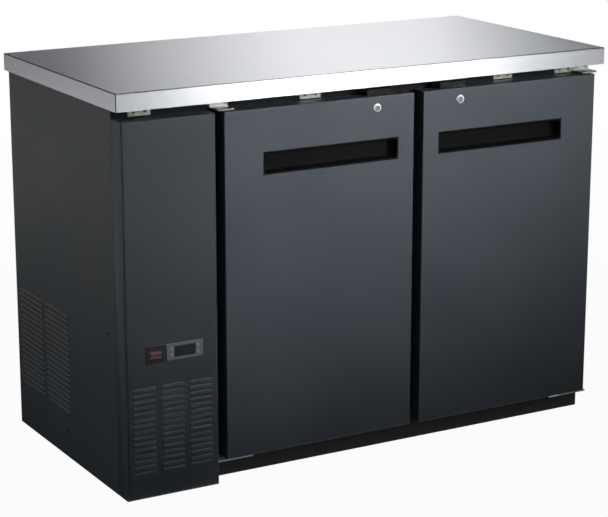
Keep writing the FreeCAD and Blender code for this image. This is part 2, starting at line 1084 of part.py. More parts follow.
def make_door_inner_panel():
    plate = block(0, door_width, door_body_depth - back_plate, door_body_depth, 0, door_height)
    dish = block(
        dish_inset,
        door_width - dish_inset,
        door_body_depth,
        door_body_depth + dish_depth,
        dish_inset,
        door_height - dish_inset,
    )
    dish = rounded(dish, dish_radius, lambda edge: at_plane(edge, "y", door_body_depth + dish_depth))
    return joined([plate, dish])


def make_gasket():
    """A magnetic seal: a wide foot on the door and a narrower bellows that meets the frame."""
    rings = (
        (gasket_inset, gasket_width, door_body_depth, door_body_depth + gasket_foot),
        (
            gasket_inset + bellows_inset,
            gasket_width - 2 * bellows_inset,
            door_body_depth + gasket_foot,
            front_depth - gasket_seat_gap,
        ),
    )
    parts = []
    for inset, width, y0, y1 in rings:
        outer = block(inset, door_width - inset, y0, y1, inset, door_height - inset)
        inner_inset = inset + width
        inner = block(inner_inset, door_width - inner_inset, y0, y1, inner_inset, door_height - inner_inset)
        parts.append(outer.cut(inner))
    return joined(parts)


def make_handle_pocket():
    lip = block(pocket_x0, pocket_x1, -pocket_lip_proud, 0, pocket_z0, pocket_z1)
    lip = rounded(lip, pocket_lip_round, lambda edge: at_plane(edge, "y", -pocket_lip_proud))
    tray = joined([lip, pocket_tray()])
    inset = pocket_lip + pocket_wall
    hollow = block(
        pocket_x0 + inset,
        pocket_x1 - inset,
        -pocket_lip_proud,
        pocket_depth - pocket_wall,
        pocket_z0 + inset,
        pocket_z1 - inset,
    )
    hollow = rounded(hollow, pocket_corner_r, lambda edge: runs_along(edge, Y_AXIS))
    return tray.cut(hollow)



def make_lock_barrel():
    flange = rod(lock_x, -lock_flange_proud, lock_z, Y_AXIS, lock_flange_proud, lock_flange_r)
    face = -lock_flange_proud
    flange = rounded(flange, lock_flange_round, lambda edge: edge.Closed and at_plane(edge, "y", face))
    body = rod(lock_x, 0, lock_z, Y_AXIS, lock_body_depth, lock_body_r)
    reach = lock_flange_proud + lock_body_depth
    bore = rod(lock_x, -lock_flange_proud, lock_z, Y_AXIS, reach, lock_plug_r + lock_bore_clearance)
    return joined([flange, body]).cut(bore)


def make_lock_plug():
    """The turning plug with its key slot, and the cam on its rear end, lying level."""
    face = -lock_flange_proud - lock_plug_proud
    plug = rod(lock_x, face, lock_z, Y_AXIS, cam_front - face, lock_plug_r)
    slot = block(
        lock_x - key_slot_height / 2,
        lock_x + key_slot_height / 2,
        face,
        face + key_slot_depth,
        lock_z - key_slot_width / 2,
        lock_z + key_slot_width / 2,
    )
    cam = block(
        lock_x - cam_reach,
        lock_x,
        cam_front,
        cam_back,
        lock_z - cam_width / 2,
        lock_z + cam_width / 2,
    )
    hub = rod(lock_x, cam_front, lock_z, Y_AXIS, cam_sheet, cam_width / 2)
    return joined([plug.cut(slot), cam, hub])


def make_hinge_bushes():
    bore_r = hinge_pin_r + hinge_pin_clearance
    lower = joined(
        [
            rod(hinge_edge_offset, hinge_face_offset, 0, Z_AXIS, bush_length, bush_r),
            rod(hinge_edge_offset, hinge_face_offset, -bush_flange, Z_AXIS, bush_flange, bush_flange_r),
        ]
    )
    lower = lower.cut(
        rod(hinge_edge_offset, hinge_face_offset, -bush_flange, Z_AXIS, bush_flange + bush_length, bore_r)
    )
    upper = lower.mirror(V(0, 0, door_height / 2), Z_AXIS)
    return Part.makeCompound([lower, upper])


def on_leaf_nose(edge):
    nose = hinge_face_offset - hinge_leaf_nose
    return runs_along(edge, Z_AXIS) and at_plane(edge, "y", nose)


def fasten(shape, xs, y, z, grip):
    """Screw a bracket to the cabinet's face at each x: its holes, and the screws themselves."""
    for x in xs:
        shape = shape.cut(screw_hole(x, y, z, -Y_AXIS, grip))
        door_screws.append(screw(x, y, z, -Y_AXIS, grip))
    return shape


def make_top_hinge():
    """The bracket over the door: a leaf with the pin, and a foot on the cabinet's face."""
    leaf_bottom = door_height + bush_flange + hinge_float
    leaf = block(
        hinge_edge_offset - hinge_leaf_outer,
        hinge_leaf_inner,
        hinge_face_offset - hinge_leaf_nose,
        front_depth,
        leaf_bottom,
        leaf_bottom + bracket_sheet,
    )
    leaf = rounded(leaf, leaf_corner_r, on_leaf_nose)
    foot = block(
        hinge_edge_offset - hinge_leaf_outer,
        hinge_leaf_inner,
        front_depth - bracket_sheet,
        front_depth,
        leaf_bottom,
        door_height + recess_height - fit_clearance,
    )
    pin_base = door_height - hinge_pin_depth
    pin_length = leaf_bottom - pin_base
    pin = rod(hinge_edge_offset, hinge_face_offset, pin_base, Z_AXIS, pin_length, hinge_pin_r)
    screw_z = (leaf_bottom + bracket_sheet + door_height + recess_height) / 2
    hinge = joined([leaf, foot, pin])
    return fasten(hinge, hinge_screw_places(0), front_depth - bracket_sheet, screw_z, bracket_sheet)


def hinge_screw_places(extra):
    """Two screws, the same distance in from each end of the bracket's foot."""
    x0 = hinge_edge_offset - hinge_leaf_outer
    x1 = hinge_leaf_inner + extra
    return (x0 + bracket_screw_inset, x1 - bracket_screw_inset)


def make_bottom_hinge():
    """The bracket under the door that carries its weight on a pin."""
    leaf_top = -bush_flange - hinge_float
    leaf = block(
        hinge_edge_offset - hinge_leaf_outer,
        hinge_leaf_inner + bottom_leaf_extra,
        hinge_face_offset - hinge_leaf_nose,
        front_depth,
        leaf_top - bracket_sheet,
        leaf_top,
    )
    leaf = rounded(leaf, leaf_corner_r, on_leaf_nose)
    foot = block(
        hinge_edge_offset - hinge_leaf_outer,
        hinge_leaf_inner + bottom_leaf_extra,
        front_depth - bracket_sheet,
        front_depth,
        leaf_top - hinge_foot_height,
        leaf_top,
    )
    pin_length = hinge_pin_depth - leaf_top
    pin = rod(hinge_edge_offset, hinge_face_offset, leaf_top, Z_AXIS, pin_length, hinge_pin_r)
    screw_z = leaf_top - (bracket_sheet + hinge_foot_height) / 2
    hinge = joined([leaf, foot, pin])
    places = hinge_screw_places(bottom_leaf_extra)
    return fasten(hinge, places, front_depth - bracket_sheet, screw_z, bracket_sheet)



def make_lock_strike():
    """The catch above the door that the raised cam stands behind."""
    lip_front = cam_front - strike_lip_back - strike_lip
    top = door_height + strike_height
    x0 = lock_x - strike_near
    x1 = lock_x + strike_far
    lip = block(x0, x1, lip_front, lip_front + strike_lip, door_height + strike_lip_rise, top)
    leaf = block(x0, x1, lip_front, front_depth, top - clip_sheet, top)
    foot = block(x0, x1, front_depth - clip_sheet, front_depth, door_height + strike_lip_rise, top)
    strike = joined([lip, leaf, foot])
    places = (x0 + bracket_screw_inset, x1 - bracket_screw_inset)
    screw_z = door_height + (strike_lip_rise + strike_height - clip_sheet) / 2
    return fasten(strike, places, front_depth - clip_sheet, screw_z, clip_sheet)



def placed(shape, mirrored):
    """A door piece put in its doorway, turned over for the right-hand door."""
    if not mirrored:
        return shape.translated(V(left_door_left, door_face, door_bottom))
    flipped = shape.mirror(V(0, 0, 0), X_AXIS)
    return flipped.translated(V(right_door_right, door_face, door_bottom))


door_pieces = {
    "door_skin": make_door_skin(),
    "door_foam": make_door_foam(),
    "door_inner_panel": make_door_inner_panel(),
    "door_gasket": make_gasket(),
    "handle_pocket": make_handle_pocket(),
    "lock_barrel": make_lock_barrel(),
    "lock_plug": make_lock_plug(),
    "hinge_bushes": make_hinge_bushes(),
}
for side, mirrored in (("left", False), ("right", True)):
    for name, shape in door_pieces.items():
        nodes[side + "_" + name] = placed(shape, mirrored)

door_screws = []
for name, bracket in (
    ("top_hinges", make_top_hinge()),
    ("bottom_hinges", make_bottom_hinge()),
    ("lock_strikes", make_lock_strike()),
):
    nodes[name] = Part.makeCompound([placed(bracket, mirrored) for mirrored in (False, True)])
all_screws += [placed(shape, mirrored) for shape in door_screws for mirrored in (False, True)]

# ---------------------------------------------------------------- machine compartment

coil_front = frame_back + coil_front_gap
coil_back = coil_front + coil_thickness
coil_left = machine_centre - coil_width / 2
coil_right = machine_centre + coil_width / 2
coil_bottom = base_top + coil_base_gap
coil_top = coil_bottom + coil_height
fan_z = (coil_bottom + coil_top) / 2
shroud_back = coil_back + shroud_depth
fan_front = shroud_back - fan_ring_depth
motor_front = fan_front + fan_hub_depth + fan_motor_gap
pan_back = inner_back - drain_pan_rear_gap
pan_front = pan_back - drain_pan_depth
compressor_y = pan_front - compressor_gap - compressor_r
compressor_base = base_top + compressor_lift
compressor_top = compressor_base + compressor_height


def make_condenser_coil():
    """Fins on tubes that run across, with a bend block at each end and two feet."""
    pitch = (coil_width - coil_fin) / (coil_fin_count - 1)
    fins = [
        block(
            coil_left + index * pitch,
            coil_left + index * pitch + coil_fin,
            coil_front,
            coil_back,
            coil_bottom,
            coil_top,
        )
        for index in range(coil_fin_count)
    ]
    tube_pitch = coil_height / coil_tube_rows
    tubes = [
        rod(
            coil_left,
            (coil_front + coil_back) / 2,
            coil_bottom + (row + 0.5) * tube_pitch,
            X_AXIS,
            coil_width,
            coil_tube_r,
        )
        for row in range(coil_tube_rows)
    ]
    feet = [
        block(x0, x0 + coil_foot, coil_front, coil_back, base_top, coil_bottom + fit_clearance)
        for x0 in (coil_left, coil_right - coil_foot)
    ]
    header = block(
        coil_left,
        coil_right,
        coil_front + coil_header_inset,
        coil_back - coil_header_inset,
        coil_top - coil_header,
        coil_top,
    )
    return joined(fins + tubes + feet + [header])


def make_condenser_shroud():
    outer = block(coil_left, coil_right, coil_back, shroud_back, coil_bottom, coil_top)
    hollow = block(
        coil_left + shroud_sheet,
        coil_right - shroud_sheet,
        coil_back,
        shroud_back - shroud_sheet,
        coil_bottom + shroud_sheet,
        coil_top - shroud_sheet,
    )
    ring_outer = rod(machine_centre, fan_front, fan_z, Y_AXIS, fan_ring_depth, fan_ring_r + shroud_sheet)
    ring_bore = rod(machine_centre, fan_front, fan_z, Y_AXIS, fan_ring_depth, fan_ring_r)
    return joined([outer.cut(hollow), ring_outer]).cut(ring_bore)


def make_fan(hub_r, hub_depth, tip_r, blades, pitch, sheet):
    """A fan about +Z with its hub's base at the origin."""
    hub = Part.makeCylinder(hub_r, hub_depth)
    hub = rounded(hub, hub_r / hub_round_share, lambda edge: edge.Closed and at_plane(edge, "z", 0))
    chord = hub_depth / math.sin(math.radians(pitch)) * blade_share
    envelope = Part.makeCylinder(tip_r, hub_depth)
    parts = [hub]
    for index in range(blades):
        blade = Part.makeBox(tip_r, chord, sheet, V(0, -chord / 2, -sheet / 2))
        blade.rotate(V(0, 0, 0), X_AXIS, pitch)
        blade.translate(V(hub_r / 2, 0, hub_depth / 2))
        blade = blade.common(envelope)
        blade.rotate(V(0, 0, 0), Z_AXIS, index * 360 / blades)
        parts.append(blade)
    return joined(parts)


def make_condenser_fan():
    fan = make_fan(fan_hub_r, fan_hub_depth, fan_r, fan_blades, fan_pitch, fan_blade_sheet)
    fan = fan.cut(Part.makeCylinder(fan_shaft_r + fan_shaft_clearance, fan_hub_depth))
    fan.rotate(V(0, 0, 0), X_AXIS, -90)
    return fan.translated(V(machine_centre, fan_front, fan_z))


def make_condenser_motor():
    """The motor can behind the fan, its shaft, and four arms to the shroud's rear face."""
    can = rod(machine_centre, motor_front, fan_z, Y_AXIS, fan_motor_depth, fan_motor_r)
    can = rounded(can, fan_motor_round, lambda edge: edge.Closed)
    shaft_length = motor_front - fan_front + shaft_sink
    shaft = rod(machine_centre, fan_front, fan_z, Y_AXIS, shaft_length, fan_shaft_r)
    reach = fan_ring_r + shroud_sheet + motor_arm_margin
    arm_y = motor_front + fan_motor_depth / 2
    half = motor_arm / 2
    parts = [can, shaft]
    for angle in (45, 135, 225, 315):
        arm = block(fan_motor_r - shaft_sink, reach, -half, half, 0, motor_arm_sheet)
        leg = block(reach - motor_arm_sheet, reach, -half, half, shroud_back - arm_y, motor_arm_sheet)
        spoke = joined([arm, leg])
        spoke.rotate(V(0, 0, 0), Z_AXIS, angle)
        spoke.rotate(V(0, 0, 0), X_AXIS, -90)
        parts.append(spoke.translated(V(machine_centre, arm_y, fan_z)))
    return joined(parts)


def make_compressor():
    """A hermetic can with domed ends on a foot plate, and its terminal cover."""
    can = rod(machine_centre, compressor_y, compressor_base, Z_AXIS, compressor_height, compressor_r)
    can = rounded(can, compressor_shoulder, lambda edge: is_rim(edge, V(0, 0, compressor_top), Z_AXIS))
    plate = block(
        machine_centre - compressor_foot_length / 2,
        machine_centre + compressor_foot_length / 2,
        compressor_y - compressor_foot_width / 2,
        compressor_y + compressor_foot_width / 2,
        compressor_base,
        compressor_base + compressor_foot_sheet,
    )
    holes = [
        rod(x, y, compressor_base, Z_AXIS, compressor_foot_sheet, grommet_neck_r + grommet_hole_clearance)
        for x, y in grommet_places()
    ]
    size_x, size_y, size_z = terminal_box
    cover_x = machine_centre + compressor_r - terminal_sink
    cover_z = compressor_base + terminal_height
    cover = block(
        cover_x,
        cover_x + size_x,
        compressor_y - size_y / 2,
        compressor_y + size_y / 2,
        cover_z,
        cover_z + size_z,
    )
    return cut_by(joined([can, plate, cover]), holes)


def grommet_places():
    half_x = compressor_foot_length / 2 - compressor_hole_inset
    half_y = compressor_foot_width / 2 - compressor_hole_inset
    return [(machine_centre + sx * half_x, compressor_y + sy * half_y) for sx in (-1, 1) for sy in (-1, 1)]


def make_grommet(x, y):
    lower = rod(x, y, base_top, Z_AXIS, compressor_lift, grommet_r)
    neck = rod(x, y, compressor_base, Z_AXIS, compressor_foot_sheet, grommet_neck_r)
    cap = rod(x, y, compressor_base + compressor_foot_sheet, Z_AXIS, grommet_cap, grommet_cap_r)
    return joined([lower, neck, cap])


def make_drain_pan():
    x0 = machine_centre - drain_pan_width / 2
    x1 = machine_centre + drain_pan_width / 2
    outer = block(x0, x1, pan_front, pan_back, base_top, base_top + drain_pan_height)
    hollow = block(
        x0 + drain_pan_sheet,
        x1 - drain_pan_sheet,
        pan_front + drain_pan_sheet,
        pan_back - drain_pan_sheet,
        base_top + drain_pan_sheet,
        base_top + drain_pan_height,
    )
    return outer.cut(hollow)


drier_x = machine_right - drier_inset
drier_y = liquid_y - pipe_rise


def make_electrical_box():
    """A closed box on the partition in front of the drier, with a lid that stands a little proud."""
    size_x, size_y, size_z = electrical_size
    lid_x = partition_left - size_x
    y1 = drier_y - electrical_drier_gap
    y0, z0, z1 = y1 - size_y, electrical_base, electrical_base + size_z
    lid = block(lid_x, lid_x + lid_depth, y0, y1, z0, z1)
    lid = rounded(lid, lid_round, lambda edge: at_plane(edge, "x", lid_x))
    step = lid_step
    body = block(lid_x + lid_depth, partition_left, y0 + step, y1 - step, z0 + step, z1 - step)
    return joined([lid, body])



def make_refrigerant_pipes():
    """Discharge, liquid and suction lines, and the drier in the liquid line."""
    coil_mid = (coil_front + coil_back) / 2
    discharge_x = machine_centre - discharge_offset
    over = coil_top + pipe_rise
    discharge = pipe(
        [
            (discharge_x, compressor_y, compressor_top),
            (discharge_x, compressor_y, over),
            (discharge_x, coil_mid, over),
            (discharge_x, coil_mid, coil_top),
        ],
        liquid_pipe_r,
    )
    drier_base = over + drier_lift
    liquid_in = pipe(
        [
            (drier_x, coil_mid, coil_top),
            (drier_x, coil_mid, drier_base - pipe_jog),
            (drier_x, drier_y, drier_base - pipe_jog),
            (drier_x, drier_y, drier_base),
        ],
        liquid_pipe_r,
    )
    drier = rod(drier_x, drier_y, drier_base, Z_AXIS, drier_length, drier_r)
    drier = rounded(drier, drier_r / 2, lambda edge: edge.Closed)
    liquid_out = pipe(
        [
            (drier_x, drier_y, drier_base + drier_length),
            (drier_x, drier_y, pipe_z - pipe_jog),
            (drier_x, liquid_y, pipe_z - pipe_jog),
            (drier_x, liquid_y, pipe_z),
            (evaporator_coil_left, liquid_y, pipe_z),
        ],
        liquid_pipe_r,
    )
    suction_x = machine_centre + suction_offset
    suction = pipe(
        [
            (suction_x, compressor_y, compressor_top),
            (suction_x, compressor_y, compressor_top + pipe_rise),
            (suction_x, suction_y, compressor_top + pipe_rise),
            (suction_x, suction_y, pipe_z),
            (evaporator_coil_left, suction_y, pipe_z),
        ],
        suction_pipe_r,
    )
    return Part.makeCompound([discharge, liquid_in, drier, liquid_out, suction])


nodes["condenser_coil"] = make_condenser_coil()
nodes["condenser_shroud"] = make_condenser_shroud()
nodes["condenser_fan"] = make_condenser_fan()
nodes["condenser_fan_motor"] = make_condenser_motor()
nodes["compressor"] = make_compressor()
nodes["compressor_grommets"] = Part.makeCompound([make_grommet(x, y) for x, y in grommet_places()])
nodes["drain_pan"] = make_drain_pan()
nodes["electrical_box"] = make_electrical_box()
nodes["refrigerant_pipes"] = make_refrigerant_pipes()

# ---------------------------------------------------------------- evaporator

evaporator_fan_x = evaporator_right - evaporator_fan_ring - evaporator_ring_margin
evaporator_fan_y = (evaporator_front + evaporator_back) / 2
evaporator_fan_base = evaporator_bottom + evaporator_fan_lift


def make_evaporator_cover():
    """A tray under the ceiling with a guarded fan mouth below and a slotted front."""
    outer = block(
        evaporator_left,
        evaporator_right,
        evaporator_front,
        evaporator_back,
        evaporator_bottom,
        inside_ceiling,
    )
    hollow = block(
        evaporator_left + evaporator_sheet,
        evaporator_right - evaporator_sheet,
        evaporator_front + evaporator_sheet,
        evaporator_back - evaporator_sheet,
        evaporator_bottom + evaporator_sheet,
        inside_ceiling,
    )
    mouth = rod(
        evaporator_fan_x,
        evaporator_fan_y,
        evaporator_bottom,
        Z_AXIS,
        evaporator_sheet,
        evaporator_fan_ring,
    )
    louvres = [
        block(x0, x1, evaporator_front, evaporator_front + evaporator_sheet, z0, z1)
        for x0, x1, z0, z1 in slots(
            outlet_columns,
            outlet_rows,
            outlet_length,
            outlet_gap,
            outlet_pitch,
            outlet_slot,
            evaporator_left + outlet_side_inset,
            evaporator_bottom + outlet_pitch,
        )
    ]
    tray = cut_by(outer.cut(hollow), [mouth] + louvres + pipe_openings(fit_clearance))
    bars = []
    for angle in (0, 45, 90, 135):
        bar = block(
            -evaporator_fan_ring - fit_clearance,
            evaporator_fan_ring + fit_clearance,
            -guard_bar / 2,
            guard_bar / 2,
            0,
            evaporator_sheet,
        )
        bar.rotate(V(0, 0, 0), Z_AXIS, angle)
        bars.append(bar.translated(V(evaporator_fan_x, evaporator_fan_y, evaporator_bottom)))
    return joined([tray] + bars)


def make_evaporator_coil():
    """Upright fins across the air's way, hung on tubes between two end plates."""
    x0 = evaporator_coil_left
    y0 = evaporator_fan_y - evaporator_coil_width / 2
    z1 = inside_ceiling
    z0 = z1 - evaporator_coil_height
    pitch = (evaporator_coil_width - evaporator_fin) / (evaporator_fin_count - 1)
    fins = [
        block(
            x0,
            x0 + evaporator_coil_length,
            y0 + index * pitch,
            y0 + index * pitch + evaporator_fin,
            z0,
            z1,
        )
        for index in range(evaporator_fin_count)
    ]
    tubes = [
        rod(x0 + share * evaporator_coil_length, y0, z, Y_AXIS, evaporator_coil_width, coil_tube_r)
        for share in (0.2, 0.4, 0.6, 0.8)
        for z in (z0 + evaporator_coil_height * 0.3, z0 + evaporator_coil_height * 0.7)
    ]
    header = block(x0, x0 + evaporator_header, y0, y0 + evaporator_coil_width, z0, z1)
    return joined(fins + tubes + [header])


def make_evaporator_fan():
    fan = make_fan(
        evaporator_hub_r,
        evaporator_fan_height,
        evaporator_fan_r,
        fan_blades,
        fan_pitch,
        fan_blade_sheet,
    )
    fan = fan.cut(Part.makeCylinder(fan_shaft_r + fan_shaft_clearance, evaporator_fan_height))
    return fan.translated(V(evaporator_fan_x, evaporator_fan_y, evaporator_fan_base))



def make_evaporator_motor():
    """A motor hung from the ceiling with its shaft down through the fan's hub."""
    can_base = inside_ceiling - evaporator_motor_height
    x, y = evaporator_fan_x, evaporator_fan_y
    can = rod(x, y, can_base, Z_AXIS, evaporator_motor_height, evaporator_motor_r)
    can = rounded(can, evaporator_motor_round, lambda edge: is_rim(edge, V(0, 0, can_base), Z_AXIS))
    shaft_length = can_base - evaporator_fan_base + shaft_sink
    shaft = rod(x, y, evaporator_fan_base, Z_AXIS, shaft_length, fan_shaft_r)
    return joined([can, shaft])


nodes["evaporator_cover"] = make_evaporator_cover()
nodes["evaporator_coil"] = make_evaporator_coil()
nodes["evaporator_fan"] = make_evaporator_fan()
nodes["evaporator_fan_motor"] = make_evaporator_motor()

# ---------------------------------------------------------------- shelves


def make_shelf(x0, x1, z):
    """A wire shelf: a round-cornered frame with wires laid over it and a bar beneath."""
    y0, y1 = shelf_front + shelf_frame_r, shelf_rear - shelf_frame_r
    x0, x1 = x0 + shelf_frame_r, x1 - shelf_frame_r
    parts = [
        rod(x0, y0, z, X_AXIS, x1 - x0, shelf_frame_r),
        rod(x0, y1, z, X_AXIS, x1 - x0, shelf_frame_r),
        rod(x0, y0, z, Y_AXIS, y1 - y0, shelf_frame_r),
        rod(x1, y0, z, Y_AXIS, y1 - y0, shelf_frame_r),
        rod(x0, (y0 + y1) / 2, z, X_AXIS, x1 - x0, shelf_frame_r),
    ]
    parts += [Part.makeSphere(shelf_frame_r, V(x, y, z)) for x in (x0, x1) for y in (y0, y1)]
    gaps = round((x1 - x0) / shelf_wire_pitch)
    wire_z = z + shelf_frame_r + shelf_wire_r - shelf_wire_sink
    for index in range(1, gaps):
        x = x0 + index * (x1 - x0) / gaps
        parts.append(rod(x, y0, wire_z, Y_AXIS, y1 - y0, shelf_wire_r))
    return joined(parts)


def make_shelf_supports():
    """Upright standards on the walls and the post, with a clip under each shelf corner."""
    z0 = inside_floor + standard_end_gap
    z1 = evaporator_bottom - standard_end_gap
    clip_tops = [height - shelf_frame_r for height in shelf_heights]
    parts = []
    for y in (shelf_front + standard_side_inset, shelf_rear - standard_side_inset):
        y0, y1 = y - standard_width / 2, y + standard_width / 2
        parts.append(block(inside_left, inside_left + standard_depth, y0, y1, z0, z1))
        parts.append(block(inside_right - standard_depth, inside_right, y0, y1, z0, z1))
        for top in clip_tops:
            clip_y0, clip_y1 = y - shelf_clip_width / 2, y + shelf_clip_width / 2
            for x0 in (inside_left + standard_depth, inside_right - standard_depth - shelf_clip_depth):
                clip_base = top - shelf_clip_height
                parts.append(block(x0, x0 + shelf_clip_depth, clip_y0, clip_y1, clip_base, top))
    half = standard_width / 2
    for y0 in (inside_back - standard_depth, mullion_back):
        parts.append(block(centre - half, centre + half, y0, y0 + standard_depth, z0, z1))
    for top in clip_tops:
        for y0 in (
            inside_back - standard_depth - shelf_clip_depth,
            mullion_back + standard_depth,
        ):
            parts.append(
                block(
                    centre - shelf_clip_depth,
                    centre + shelf_clip_depth,
                    y0,
                    y0 + shelf_clip_depth,
                    top - shelf_clip_height,
                    top,
                )
            )
    return Part.makeCompound(parts)


shelf_edges = {
    "left": (inside_left + standard_depth + shelf_side_gap, centre - shelf_side_gap),
    "right": (centre + shelf_side_gap, inside_right - standard_depth - shelf_side_gap),
}
for side, (shelf_x0, shelf_x1) in shelf_edges.items():
    for level, height in zip(("lower", "upper"), shelf_heights):
        nodes["shelf_" + side + "_" + level] = make_shelf(shelf_x0, shelf_x1, height)
nodes["shelf_supports"] = make_shelf_supports()

# ---------------------------------------------------------------- fasteners and output

nodes["screws"] = Part.makeCompound(all_screws)

os.makedirs("parts", exist_ok=True)
for name, shape in nodes.items():
    if not shape.isValid():
        print("not valid:", name)
    shape.exportStep("parts/" + name + ".step")
print(len(nodes), "nodes written")
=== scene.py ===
import math

import bmesh
import bpy
from mathutils import Matrix, Vector


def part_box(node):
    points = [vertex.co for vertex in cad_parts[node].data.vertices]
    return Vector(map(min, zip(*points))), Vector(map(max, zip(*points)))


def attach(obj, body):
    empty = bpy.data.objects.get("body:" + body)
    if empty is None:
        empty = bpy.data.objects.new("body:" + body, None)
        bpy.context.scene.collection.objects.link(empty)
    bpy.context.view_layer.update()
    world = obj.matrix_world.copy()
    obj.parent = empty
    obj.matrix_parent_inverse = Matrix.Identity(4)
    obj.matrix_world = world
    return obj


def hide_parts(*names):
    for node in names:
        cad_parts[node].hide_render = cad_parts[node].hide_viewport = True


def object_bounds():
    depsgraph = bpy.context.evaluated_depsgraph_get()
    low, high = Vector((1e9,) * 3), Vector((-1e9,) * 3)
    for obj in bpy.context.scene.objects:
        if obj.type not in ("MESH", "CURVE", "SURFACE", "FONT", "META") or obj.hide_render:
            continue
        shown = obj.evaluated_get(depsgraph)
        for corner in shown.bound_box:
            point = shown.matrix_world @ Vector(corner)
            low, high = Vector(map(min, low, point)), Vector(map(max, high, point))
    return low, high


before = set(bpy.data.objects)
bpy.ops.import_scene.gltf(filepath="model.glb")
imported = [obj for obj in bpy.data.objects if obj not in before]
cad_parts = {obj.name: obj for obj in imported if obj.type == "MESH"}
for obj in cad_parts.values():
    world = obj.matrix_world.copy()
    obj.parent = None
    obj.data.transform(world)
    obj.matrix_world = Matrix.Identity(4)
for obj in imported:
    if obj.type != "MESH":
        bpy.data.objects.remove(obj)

cad_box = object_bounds()

# ---------------------------------------------------------------- base pan and feet
# The base is a folded pan of hot-dip galvanised sheet that carries the compressor and the cabinet.
# Zinc freezes on the sheet in flat crystals, so it shows a grey spangle with a soft shine.
# The four low feet are moulded nylon, screwed into the pan.

MM = 0.001


def linear(hex_colour):
    """An sRGB hex colour as linear red, green, blue and alpha, by the sRGB curve."""
    shares = [int(hex_colour[i:i + 2], 16) / 255 for i in (1, 3, 5)]
    bent = [c / 12.92 if c <= 0.04045 else ((c + 0.055) / 1.055) ** 2.4 for c in shares]
    return (*bent, 1.0)


def add(finish, kind, settings, links):
    """Adds a node to a finish. Settings are its options or unlinked inputs, links feed its inputs."""
    node = finish.node_tree.nodes.new(kind)
    for name, value in settings.items():
        if isinstance(name, int) or name in node.inputs:
            node.inputs[name].default_value = value
        else:
            setattr(node, name, value)
    for name, source in links.items():
        finish.node_tree.links.new(source, node.inputs[name])
    return node


def new_finish(name, colour, **sockets):
    """A material whose principled shader has that colour, and the sockets named."""
    finish = bpy.data.materials.new(name)
    finish.use_nodes = True
    shader = finish.node_tree.nodes["Principled BSDF"]
    shader.inputs["Base Color"].default_value = linear(colour)
    for socket, value in sockets.items():
        shader.inputs[socket.replace("_", " ")].default_value = value
    return finish


def pattern(finish, mm, kind="ShaderNodeTexNoise", drawn_out=(1, 1, 1), output="Fac", **settings):
    """A pattern with features that many millimetres across, drawn out along an axis if asked."""
    place = add(finish, "ShaderNodeTexCoord", {}, {})
    drawn = add(
        finish,
        "ShaderNodeMapping",
        {"Scale": [1 / share for share in drawn_out]},
        {"Vector": place.outputs["Object"]},
    )
    settings["Scale"] = 1 / (mm * MM)
    return add(finish, kind, settings, {"Vector": drawn.outputs["Vector"]}).outputs[output]


def vary(finish, source, colours=None, roughness=None, relief=0.0, spread=(0.3, 0.7)):
    """Lets a pattern shift a finish's colour, its roughness, and its height by a relief in mm."""
    tree = finish.node_tree
    shader = tree.nodes["Principled BSDF"]
    low, high = spread
    if colours:
        ramp = add(finish, "ShaderNodeValToRGB", {}, {"Fac": source})
        for element, at, colour in zip(ramp.color_ramp.elements, spread, colours):
            element.position = at
            element.color = linear(colour)
        tree.links.new(ramp.outputs["Color"], shader.inputs["Base Color"])
    if roughness:
        ends = {"From Min": low, "From Max": high, "To Min": roughness[0], "To Max": roughness[1]}
        span = add(finish, "ShaderNodeMapRange", ends, {"Value": source})
        tree.links.new(span.outputs["Result"], shader.inputs["Roughness"])
    if relief:
        links = {"Height": source}
        if shader.inputs["Normal"].links:
            links["Normal"] = shader.inputs["Normal"].links[0].from_socket
        bump = add(finish, "ShaderNodeBump", {"Distance": relief * MM}, links)
        tree.links.new(bump.outputs["Normal"], shader.inputs["Normal"])


def coat(finish, *names):
    """Gives a finish to CAD nodes."""
    for name in names:
        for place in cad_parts[name].material_slots:
            place.material = finish


galvanised = new_finish("galvanised_sheet", "#9a9fa2", Metallic=1.0, Roughness=0.42)
spangle = pattern(galvanised, mm=11.0, kind="ShaderNodeTexVoronoi", output="Color")
vary(galvanised, spangle, ("#8f9497", "#a4a9ac"), (0.36, 0.5), spread=(0.2, 0.8))
coat(galvanised, "base_pan")

nylon = new_finish("moulded_nylon", "#141415", Roughness=0.5, IOR=1.53)
vary(nylon, pattern(nylon, mm=3.0, Detail=3.0), ("#111112", "#1a1a1b"), (0.42, 0.58), relief=0.02)
coat(nylon, "base_feet")

# ---------------------------------------------------------------- compressor
# A hermetic compressor is two deep-drawn steel cups welded round the waist, dipped in black enamel.
# The enamel is thick and glossy, with a slight run in it. It stands on four rubber grommets.

enamel = new_finish("black_enamel", "#0c0c0d", Roughness=0.22, IOR=1.5)
vary(enamel, pattern(enamel, mm=9.0, Detail=2.0), ("#0a0a0b", "#131314"), (0.16, 0.32), relief=0.05)
coat(enamel, "compressor")

rubber = new_finish("moulded_rubber", "#161617", Roughness=0.75, IOR=1.52)
vary(rubber, pattern(rubber, mm=2.0, Detail=3.0), ("#121213", "#1d1d1e"), (0.65, 0.85), relief=0.02)
coat(rubber, "compressor_grommets")

# ---------------------------------------------------------------- condenser, fan and pan
# The condenser is copper tube pushed through thin aluminium fins, with a galvanised shroud behind it.
# The fan is moulded polypropylene on a small motor of lacquered steel. The drain pan is galvanised.

fin_aluminium = new_finish("fin_aluminium", "#b9bcbd", Metallic=1.0, Roughness=0.38)
vary(fin_aluminium, pattern(fin_aluminium, mm=6.0, Detail=3.0), ("#a5a8aa", "#c4c7c8"), (0.3, 0.48))
coat(fin_aluminium, "condenser_coil")
coat(galvanised, "condenser_shroud", "drain_pan")

